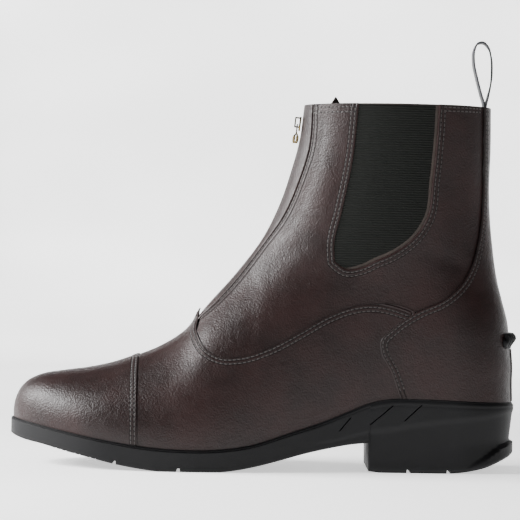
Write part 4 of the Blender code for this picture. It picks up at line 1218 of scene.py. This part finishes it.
class BOOT_OT_uppers(bpy.types.Operator):
    """Leather pieces laid over the boot: quarters, vamp, toe cap, counter and plackets"""

    bl_idname = "boot.uppers"
    bl_label = "Leather pieces"

    def execute(self, context):
        settings = context.scene.boot_leather
        self.leather = leather_material("boot leather", settings)
        self.plain = leather_material("unstitched leather", settings, stitched=False)
        # the quarters' leather: its cut of 2.2 paints a highlight along its cut edges
        self.highlit_edge_leather = leather_material("quarter leather", settings, cut=2.2)
        self.toe_cap()
        self.vamp()
        self.counter()
        for side in (-1, 1):
            self.quarter(side)
            self.placket(side)
        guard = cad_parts["zip_guard"]
        guard.data.materials.clear()
        guard.data.materials.append(self.plain)
        self.heel_strip()
        return {"FINISHED"}

    def heel_strip(self):
        """A narrow strip down the heel's back, from the spur rest to the sole."""
        v = np.linspace(0.002, float(np.interp(0.0675, BACK[:, 1], np.linspace(0, 1, len(BACK)))), 60)
        theta = np.pi + arc_angle(HEEL_STRIP_HALF, v)[None, :] * np.linspace(-1, 1, 41)[:, None]
        places = np.stack([theta, np.broadcast_to(v, theta.shape)], axis=-1)
        ends = [places[0], places[-1]]
        leather_sheet("heel_strip", places, COUNTER[1] + 0.00002, COUNTER[1] + 0.0006, self.plain, ends)

    def toe_cap(self):
        """Rows run from the cap's rear edge to the foot line in front of it."""
        edge = cap_edge(151)
        foot = np.stack([np.linspace(edge[0, 0], edge[-1, 0], len(edge)), np.zeros(len(edge))], axis=-1)
        share = (1 - crowd(131)[::-1])[None, :, None]
        places = edge[:, None] * (1 - share) + foot[:, None] * share
        leather_sheet("toe_cap_leather", places, *CAP, self.leather, [edge], ("toe_cap",))

    def vamp(self):
        """A Coons grid between the foot and the cap's edge below and the scalloped edge above."""
        count, rise = 241, crowd(121)
        top = vamp_top(count)
        end = spread(counter_front(80, UNDER, VAMP_END), rise)
        end[-1] = top[0]
        cap = cap_edge(90, UNDER)
        foot = np.stack([np.linspace(end[0, 0], cap[0, 0], 60), np.zeros(60)], axis=-1)
        along = np.linspace(0.0, 1.0, count)
        bottom = spread(np.concatenate([foot[:-1], cap, mirrored(foot[::-1][1:])]), along)
        places = coons(bottom, top, end, mirrored(end), along, rise)
        leather_sheet("vamp_leather", places, *VAMP, self.leather, [top], ("vamp",), peak_lift)

    def counter(self):
        """Rows run level round the heel, from the lateral front edge to the medial one."""
        edge = counter_front(171)
        share = crowd(151)[:, None]
        theta = edge[:, 0][None] * (1 - share) + (2 * np.pi - edge[:, 0])[None] * share
        places = np.stack([theta, np.broadcast_to(edge[:, 1], theta.shape)], axis=-1)
        leather_sheet("counter_leather", places, *COUNTER, self.leather, [edge, mirrored(edge)], ("counter",))

    def quarter(self, side):
        """A U round the gore: three ruled strips between the gore's edge and the piece's outer edge."""
        outlines = (
            (seam(GORE_FRONT, 90)[::-1], seam(PLACKET_SEAM, 90, 0.0002)[::-1]),
            (seam(GORE_FOOT, 60), seam(VAMP_EDGE, 60, UNDER)),
            (seam(GORE_REAR, 90), counter_front(160, UNDER)),
        )
        inner = [pair[0] for pair in outlines]
        placket, vamp, counter = [pair[1] for pair in outlines]
        vamp[0] = placket[-1]
        height = side_map((1 - np.cos(counter[:, 0])) / 2, counter[:, 1])[:, 1]
        counter = counter[height > VAMP_END * COLLAR_HEIGHT]
        vamp = np.concatenate([vamp[:-1], counter[:1]])
        shares = np.linspace(0.0, 1.0, 90)
        inside = np.concatenate([spread(line, shares) for line in inner])
        outside = np.concatenate([spread(line, shares) for line in (placket, vamp, counter)])
        inside[[0, -1], 1] = 1.0
        outside[[0, -1], 1] = 1.0
        across = crowd(75)[None, :, None]
        places = inside[:, None] * (1 - across) + outside[:, None] * across
        gore_line, front_line = np.concatenate(inner), placket
        if side > 0:
            places, gore_line, front_line = mirrored(places), mirrored(gore_line), mirrored(front_line)
        name = "quarter_lateral" if side < 0 else "quarter_medial"
        leather_sheet(name, places, *QUARTER, self.highlit_edge_leather, [gore_line, front_line], (), quarter_lift)

    def placket(self, side):
        """The strip of leather along one side of the zip."""
        outer = seam(PLACKET_SEAM, 181, -0.0002)
        outer[-1, 1] = 1.0
        below = outer[0] + np.linspace(-PLACKET_FOOT, 0.0, 12, endpoint=False)[:, None] * (0.0, 1.0)
        outer = np.concatenate([below, outer])
        thetas = np.linspace(0.0, 1.2, 200)
        sides = -skin_base(thetas[None, :], outer[:, 1:2])[..., 1]
        reach = [np.interp(PLACKET_INNER, side_out, thetas) for side_out in sides]
        inner = np.stack([reach, outer[:, 1]], axis=-1)
        share = crowd(41)[None, :, None]
        places = inner[:, None] * (1 - share) + outer[:, None] * share
        places = places if side < 0 else mirrored(places)
        name = "placket_lateral" if side < 0 else "placket_medial"
        line = outer if side < 0 else mirrored(outer)
        leather_sheet(name + "_leather", places, *PLACKET, self.plain, [line], (name,))


class BOOT_OT_stitches(bpy.types.Operator):
    """Rows of stitches along every seam"""

    bl_idname = "boot.stitches"
    bl_label = "Stitches"

    def execute(self, context):
        settings = context.scene.boot_leather
        thread = plain_material("thread", settings.thread, 0.55, 4000.0, 0.00005, Sheen_Weight=0.3)
        # painted shade: a near-black finish for the flat pods where the thread goes into the leather
        hole_shade = plain_material("stitch hole", (0.004, 0.003, 0.003), 0.9, 900.0, 0.00001)
        rows = (settings.first_row, settings.second_row)
        cap = cap_edge(300)
        stitch_rows("cap", [beside(cap, d) for d in rows], CAP[1], thread, hole_shade, settings)
        top = vamp_top(500)
        halves = [top[:238], top[262:]]
        sides = [beside(half, d) for half in halves for d in rows]
        stitch_rows("vamp", sides, VAMP[1], thread, hole_shade, settings, peak_lift)
        counter = counter_front(300)[6:]
        sides = [beside(counter, -d) for d in rows]
        stitch_rows("counter", sides + [mirrored(s) for s in sides], COUNTER[1], thread, hole_shade, settings)
        gore = [seam(GORE_FRONT, 120)[::-1], seam(GORE_FOOT, 60)[1:], seam(GORE_REAR, 120)[1:]]
        gore = spread(np.concatenate(gore), np.linspace(0.0, 1.0, 400))[4:-4]
        sides = [beside(gore, -d) for d in rows]
        both = sides + [mirrored(s) for s in sides]
        stitch_rows("gore", both, QUARTER[1], thread, hole_shade, settings, quarter_lift)
        front = seam(PLACKET_SEAM, 300)[30:-3]
        sides = [beside(front, -settings.first_row)]
        sides.append(beside(front[200:], -settings.second_row))
        both = sides + [mirrored(s) for s in sides]
        stitch_rows("placket", both, QUARTER[1], thread, hole_shade, settings, quarter_lift)
        self.collar(thread, hole_shade, settings)
        return {"FINISHED"}

    def collar(self, thread, hole_shade, settings):
        """Two rows below the collar between placket and gore, and one behind the gore."""
        lines = []
        for v in (0.992, 0.981):
            front, gore = ring_place(side_point(PLACKET_SEAM[-1])), ring_place(side_point(GORE_FRONT[-1]))
            rear, back = ring_place(side_point(GORE_REAR[-1])), ring_place(side_point(COUNTER_EDGE[-1]))
            for first, last in ((front, gore), (rear, back)):
                theta = np.linspace(first[0, 0] + 0.05, last[0, 0] - 0.05, 60)
                lines.append(np.stack([theta, np.full(60, v)], axis=-1))
        both = lines + [mirrored(line) for line in lines]
        stitch_rows("collar", both, QUARTER[1], thread, hole_shade, settings, quarter_lift)


class BOOT_OT_gores(bpy.types.Operator):
    """Elastic gores in the windows of the quarters"""

    bl_idname = "boot.gores"
    bl_label = "Elastic gores"

    def execute(self, context):
        elastic = elastic_material(context.scene.boot_elastic)
        for side, name in ((-1, "gore_lateral"), (1, "gore_medial")):
            front, rear = seam(GORE_FRONT, 141, -UNDER), seam(GORE_REAR, 141, -UNDER)
            foot = spread(seam(GORE_FOOT, 60, -UNDER), np.linspace(0, 1, 91))
            front[0], rear[0] = foot[0], foot[-1]
            rear[-1, 1], front[-1, 1] = 0.988, 0.997
            top = front[-1] + np.linspace(0, 1, 91)[:, None] * (rear[-1] - front[-1])
            places = coons(foot, top, front, rear, np.linspace(0, 1, 91), np.linspace(0, 1, 141))
            places = places if side < 0 else mirrored(places)
            theta, v = places[..., 0], places[..., 1]
            inner = skin(theta, v, np.full(theta.shape, GORE[0]), False)
            outer = skin(theta, v, np.full(theta.shape, GORE[1]), False)
            points, quads = sheet_mesh(inner, outer)
            weave = {"weave": points[:, 0]}
            made_from = {"replaced": (name,), "slot": "elastic"}
            put_mesh(name + "_elastic", points, quads, elastic, values=weave, **made_from)
        return {"FINISHED"}


class BOOT_OT_zip(bpy.types.Operator):
    """Zip down the front: tape, two rows of teeth, slider and pull"""

    bl_idname = "boot.zip"
    bl_label = "Zip"

    def execute(self, context):
        settings = context.scene.boot_zip
        brass = brass_material(settings)
        tape = webbing_material()
        low, high = 0.0935, COLLAR_HEIGHT - 0.001
        run = np.linspace(low - 0.0135, high, 120)
        here, out = self.front_frame(run)
        across = np.linspace(-0.0046, 0.0046, 9)
        grids = []
        for offset in (-0.0030, -0.0020):
            spot = here + offset * out
            grid = np.empty((len(run), len(across), 3))
            grid[..., 0], grid[..., 2] = spot[:, 0:1], spot[:, 1:2]
            grid[..., 1] = across
            grids.append(grid)
        points, quads = sheet_mesh(*grids)
        put_mesh("zip_tape", points, quads, tape, slot="webbing", replaced=("zip_chain",))
        count = int((high - low) / settings.pitch)
        heights = low + (np.arange(2 * count) + 0.5) * (high - low) / (2 * count)
        here, out = self.front_frame(heights)
        side = np.where(np.arange(2 * count) % 2 == 0, -1.0, 1.0)
        spot = here - 0.0012 * out
        centres = np.stack([spot[:, 0], side * 0.0008, spot[:, 1]], axis=-1)
        way = np.stack([np.zeros(len(side)), side, np.zeros(len(side))], axis=-1)
        front = np.stack([out[:, 0], np.zeros(len(side)), out[:, 1]], axis=-1)
        points, quads = pods(centres, way, front, (0.0017, 0.00050, 0.0010))
        put_mesh("zip_teeth", points, quads, brass, slot="brass")
        for name in ("zip_slider", "zip_pull"):
            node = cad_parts[name]
            node.data.materials.clear()
            node.data.materials.append(brass)
        return {"FINISHED"}

    @staticmethod
    def front_frame(height):
        """Points of the front line at these heights and its outward direction, both seen from the side."""
        v = front_v(height)
        way = along_line(FRONT, v + 0.01) - along_line(FRONT, v - 0.01)
        way /= np.linalg.norm(way, axis=-1, keepdims=True)
        return along_line(FRONT, v), np.stack([-way[:, 1], way[:, 0]], axis=-1)


class BOOT_OT_back(bpy.types.Operator):
    """Pull loop behind the collar, and the spur rest on the heel"""

    bl_idname = "boot.back"
    bl_label = "Loop and spur rest"

    def execute(self, context):
        self.loop()
        self.spur_rest(context.scene.boot_sole)
        return {"FINISHED"}

    def loop(self):
        """A flat tape swept along the loop's line. The rear strand turns its face a little to the side."""
        line = line_through(np.array(LOOP_FOOT) + np.array(LOOP_LINE), 260)
        way = np.gradient(line, axis=0)
        way /= np.linalg.norm(way, axis=1, keepdims=True)
        inward = np.stack([way[:, 1], -way[:, 0]], axis=-1)
        turned = LOOP_TWIST * ease((np.linspace(0.0, 1.0, len(line)) - 0.42) / 0.2)
        turned = turned * ease((1 - np.linspace(0.0, 1.0, len(line)) - 0.12) / 0.2)
        near, far = 0.0002, LOOP_TAPE - 0.0002
        half, soft = LOOP_HALF, LOOP_HALF - 0.0003
        profile = [(-half, near), (-half, far), (-soft, LOOP_TAPE), (soft, LOOP_TAPE)]
        profile += [(half, far), (half, near), (soft, 0.0), (-soft, 0.0)]
        sections = np.empty((len(line), len(profile), 3))
        for index, (y, deep) in enumerate(profile):
            spot = line + inward * (deep - LOOP_TAPE / 2)
            row = (spot[:, 0] + y * turned, np.full(len(spot), y), spot[:, 1])
            sections[:, index] = np.stack(row, axis=-1)
        points, quads = tube_mesh(sections, False)
        middles = sections[[0, -1]].mean(axis=1)
        size = len(profile)
        last = (len(line) - 1) * size
        points = np.concatenate([points, middles])
        k = np.arange(0, size, 2)
        hub = len(points) - 2
        caps = [np.stack([np.full_like(k, hub), (k + 2) % size, (k + 1) % size, k], axis=-1)]
        end_cap = [np.full_like(k, hub + 1 - last), k, (k + 1) % size, (k + 2) % size]
        caps.append(last + np.stack(end_cap, axis=-1))
        quads = np.concatenate([quads] + caps)
        put_mesh("loop_tape", points, quads, webbing_material(), replaced=("pull_loop",), slot="webbing")

    def spur_rest(self, settings):
        """A ledge round the heel's back whose profile leans out to a lip, with slanting ribs across it."""
        rise = np.linspace(0.0, 1.0, 32)[None, :]
        heights = SPUR_REST_HEIGHT + SPUR_REST_TALL * (rise[0] - 0.5)
        v = np.interp(heights, BACK[:, 1], np.linspace(0.0, 1.0, len(BACK)))
        reach = np.linspace(-1.0, 1.0, 220)[:, None]
        half = arc_angle(SPUR_REST_HALF, v[20])[0]
        theta = np.broadcast_to(np.pi + half * reach, (len(reach), len(v)))
        v = np.broadcast_to(v, theta.shape)
        ends = np.sqrt(1 - (0.93 * np.abs(reach)) ** 4)
        rounded = np.sqrt(1 - np.clip((rise - 0.72) / 0.36, 0, 1) ** 2)
        lip = 0.0030 * (0.25 + 0.75 * ends) * ease(rise / 0.7) * rounded
        ribs = 0.0006 * ease(1.5 * np.cos(2 * np.pi * (reach * 6.5 + rise * 0.9))) * bell((rise - 0.5) / 0.35)
        high = 0.0009 + lip + ribs
        under = skin(theta, v, np.full(theta.shape, 0.0003), False)
        points, quads = sheet_mesh(under, skin(theta, v, high, False))
        rubber = rubber_material(settings)
        put_mesh("spur_rest_rubber", points, quads, rubber, replaced=("spur_rest",), slot="rubber")
        theta = np.pi + np.array([-1.0, 1.0]) * half * 1.04
        at = np.full(2, float(np.interp(SPUR_REST_HEIGHT - 0.0012, BACK[:, 1], np.linspace(0, 1, len(BACK)))))
        out = normals(theta, at)
        centres, way = skin(theta, at, np.full(2, 0.0007)), ways(theta, at)[1] / 0.2
        points, quads = pods(centres, way, out, (0.0030, 0.0026, 0.0013), 15, 20)
        put_mesh("spur_rest_bosses", points, quads, rubber, slot="rubber")


# The camera in metres and radians, with its lens in millimetres, and the lights with watts
CAMERA_LENS = 155.3
CAMERA_X, CAMERA_Z = -0.00245, 0.1145
CAMERA_ROLL = -0.017
WORLD_STRENGTH = 0.18
FLOOR_GLOW = 0.88
SWEEP_START, SWEEP_RADIUS, SWEEP_TURN = 1.2, 1.5, 1.08
Light = namedtuple("Light", "name place target size power")
LIGHTS = [
    Light("front softbox", (-1.18, -0.04, 0.68), (0.0, 0.0, 0.13), (0.9, 0.45), 66.0),
    Light("side fill", (0.50, -1.30, 0.80), (0.06, 0.0, 0.09), (0.30, 0.30), 1.6),
    Light("backdrop", (0.0, 1.0, 1.6), (0.0, 2.4, 1.0), (3.0, 0.8), 90.0),
]


class BOOT_OT_stage(bpy.types.Operator):
    """Pale floor that sweeps up behind the boot, soft lights and the camera"""

    bl_idname = "boot.stage"
    bl_label = "Stage"

    def execute(self, context):
        settings = context.scene.boot_stage
        self.floor(settings)
        self.camera(settings)
        world = bpy.data.worlds.new("studio")
        context.scene.world = world
        world.use_nodes = True
        world.node_tree.nodes["Background"].inputs["Color"].default_value = (1.0, 1.0, 1.0, 1.0)
        world.node_tree.nodes["Background"].inputs["Strength"].default_value = WORLD_STRENGTH
        for row in LIGHTS:
            self.light(*row)
        return {"FINISHED"}

    def floor(self, settings):
        """A sheet that runs level under the boot and turns up behind it in part of a circle."""
        turn = np.linspace(0.05, SWEEP_TURN, 20)
        y = np.concatenate([np.linspace(-24.0, SWEEP_START, 30), SWEEP_START + SWEEP_RADIUS * np.sin(turn)])
        z = np.concatenate([np.zeros(30), SWEEP_RADIUS * (1 - np.cos(turn))])
        x = np.linspace(-24.0, 24.0, 12)
        grid = np.stack(np.broadcast_arrays(x[:, None], y[None], z[None]), axis=-1)
        mesh = bpy.data.meshes.new("floor")
        mesh.from_pydata(grid.reshape(-1, 3).tolist(), [], grid_quads(12, len(y)).tolist())
        mesh.shade_smooth()
        glow = {"Emission_Color": (1.0, 1.0, 1.0, 1.0), "Emission_Strength": FLOOR_GLOW}
        mesh.materials.append(plain_material("floor", settings.floor, 0.8, 30.0, 0.0001, **glow))
        made = bpy.data.objects.new("floor", mesh)
        bpy.context.scene.collection.objects.link(made)

    def camera(self, settings):
        """The photograph's view: level, square to the boot's lateral side, rolled by about one degree."""
        data = bpy.data.cameras.new("camera")
        data.sensor_width = 36.0
        data.lens = CAMERA_LENS
        made = bpy.data.objects.new("camera", data)
        made.location = (CAMERA_X, -settings.distance, CAMERA_Z)
        made.rotation_euler = (np.pi / 2, CAMERA_ROLL, 0.0)
        bpy.context.scene.collection.objects.link(made)
        bpy.context.scene.camera = made

    def light(self, name, place, target, size, power):
        data = bpy.data.lights.new(name, "AREA")
        data.shape, data.size, data.size_y, data.energy = "RECTANGLE", size[0], size[1], power
        made = bpy.data.objects.new(name, data)
        made.location = place
        way = np.array(target) - np.array(place)
        flat = np.hypot(way[0], way[1])
        made.rotation_euler = (np.arctan2(flat, -way[2]), 0.0, np.arctan2(way[1], way[0]) - np.pi / 2)
        bpy.context.scene.collection.objects.link(made)


class BOOT_PT_panel(bpy.types.Panel):
    """Lists the boot's pieces and their sizes"""

    bl_label = "Boot"
    bl_idname = "BOOT_PT_panel"
    bl_space_type = "VIEW_3D"
    bl_region_type = "UI"
    bl_category = "Boot"

    def draw(self, context):
        for operator in OPERATORS:
            self.layout.operator(operator.bl_idname)
        for name in GROUPS:
            group = getattr(context.scene, name)
            for key in group.__annotations__:
                self.layout.prop(group, key)


OPERATORS = (
    BOOT_OT_sole,
    BOOT_OT_lining,
    BOOT_OT_uppers,
    BOOT_OT_gores,
    BOOT_OT_stitches,
    BOOT_OT_zip,
    BOOT_OT_back,
    BOOT_OT_stage,
)
GROUPS = {
    "boot_leather": LeatherSettings,
    "boot_elastic": ElasticSettings,
    "boot_sole": SoleSettings,
    "boot_zip": ZipSettings,
    "boot_stage": StageSettings,
}


def register():
    for name, group in GROUPS.items():
        bpy.utils.register_class(group)
        setattr(bpy.types.Scene, name, bpy.props.PointerProperty(type=group))
    for one in OPERATORS + (BOOT_PT_panel,):
        bpy.utils.register_class(one)


def unregister():
    for one in reversed(OPERATORS + (BOOT_PT_panel,)):
        bpy.utils.unregister_class(one)
    for name, group in GROUPS.items():
        delattr(bpy.types.Scene, name)
        bpy.utils.unregister_class(group)


def main():
    register()
    for operator in OPERATORS:
        section, name = operator.bl_idname.split(".")
        getattr(getattr(bpy.ops, section), name)()


if __name__ == "__main__":
    main()
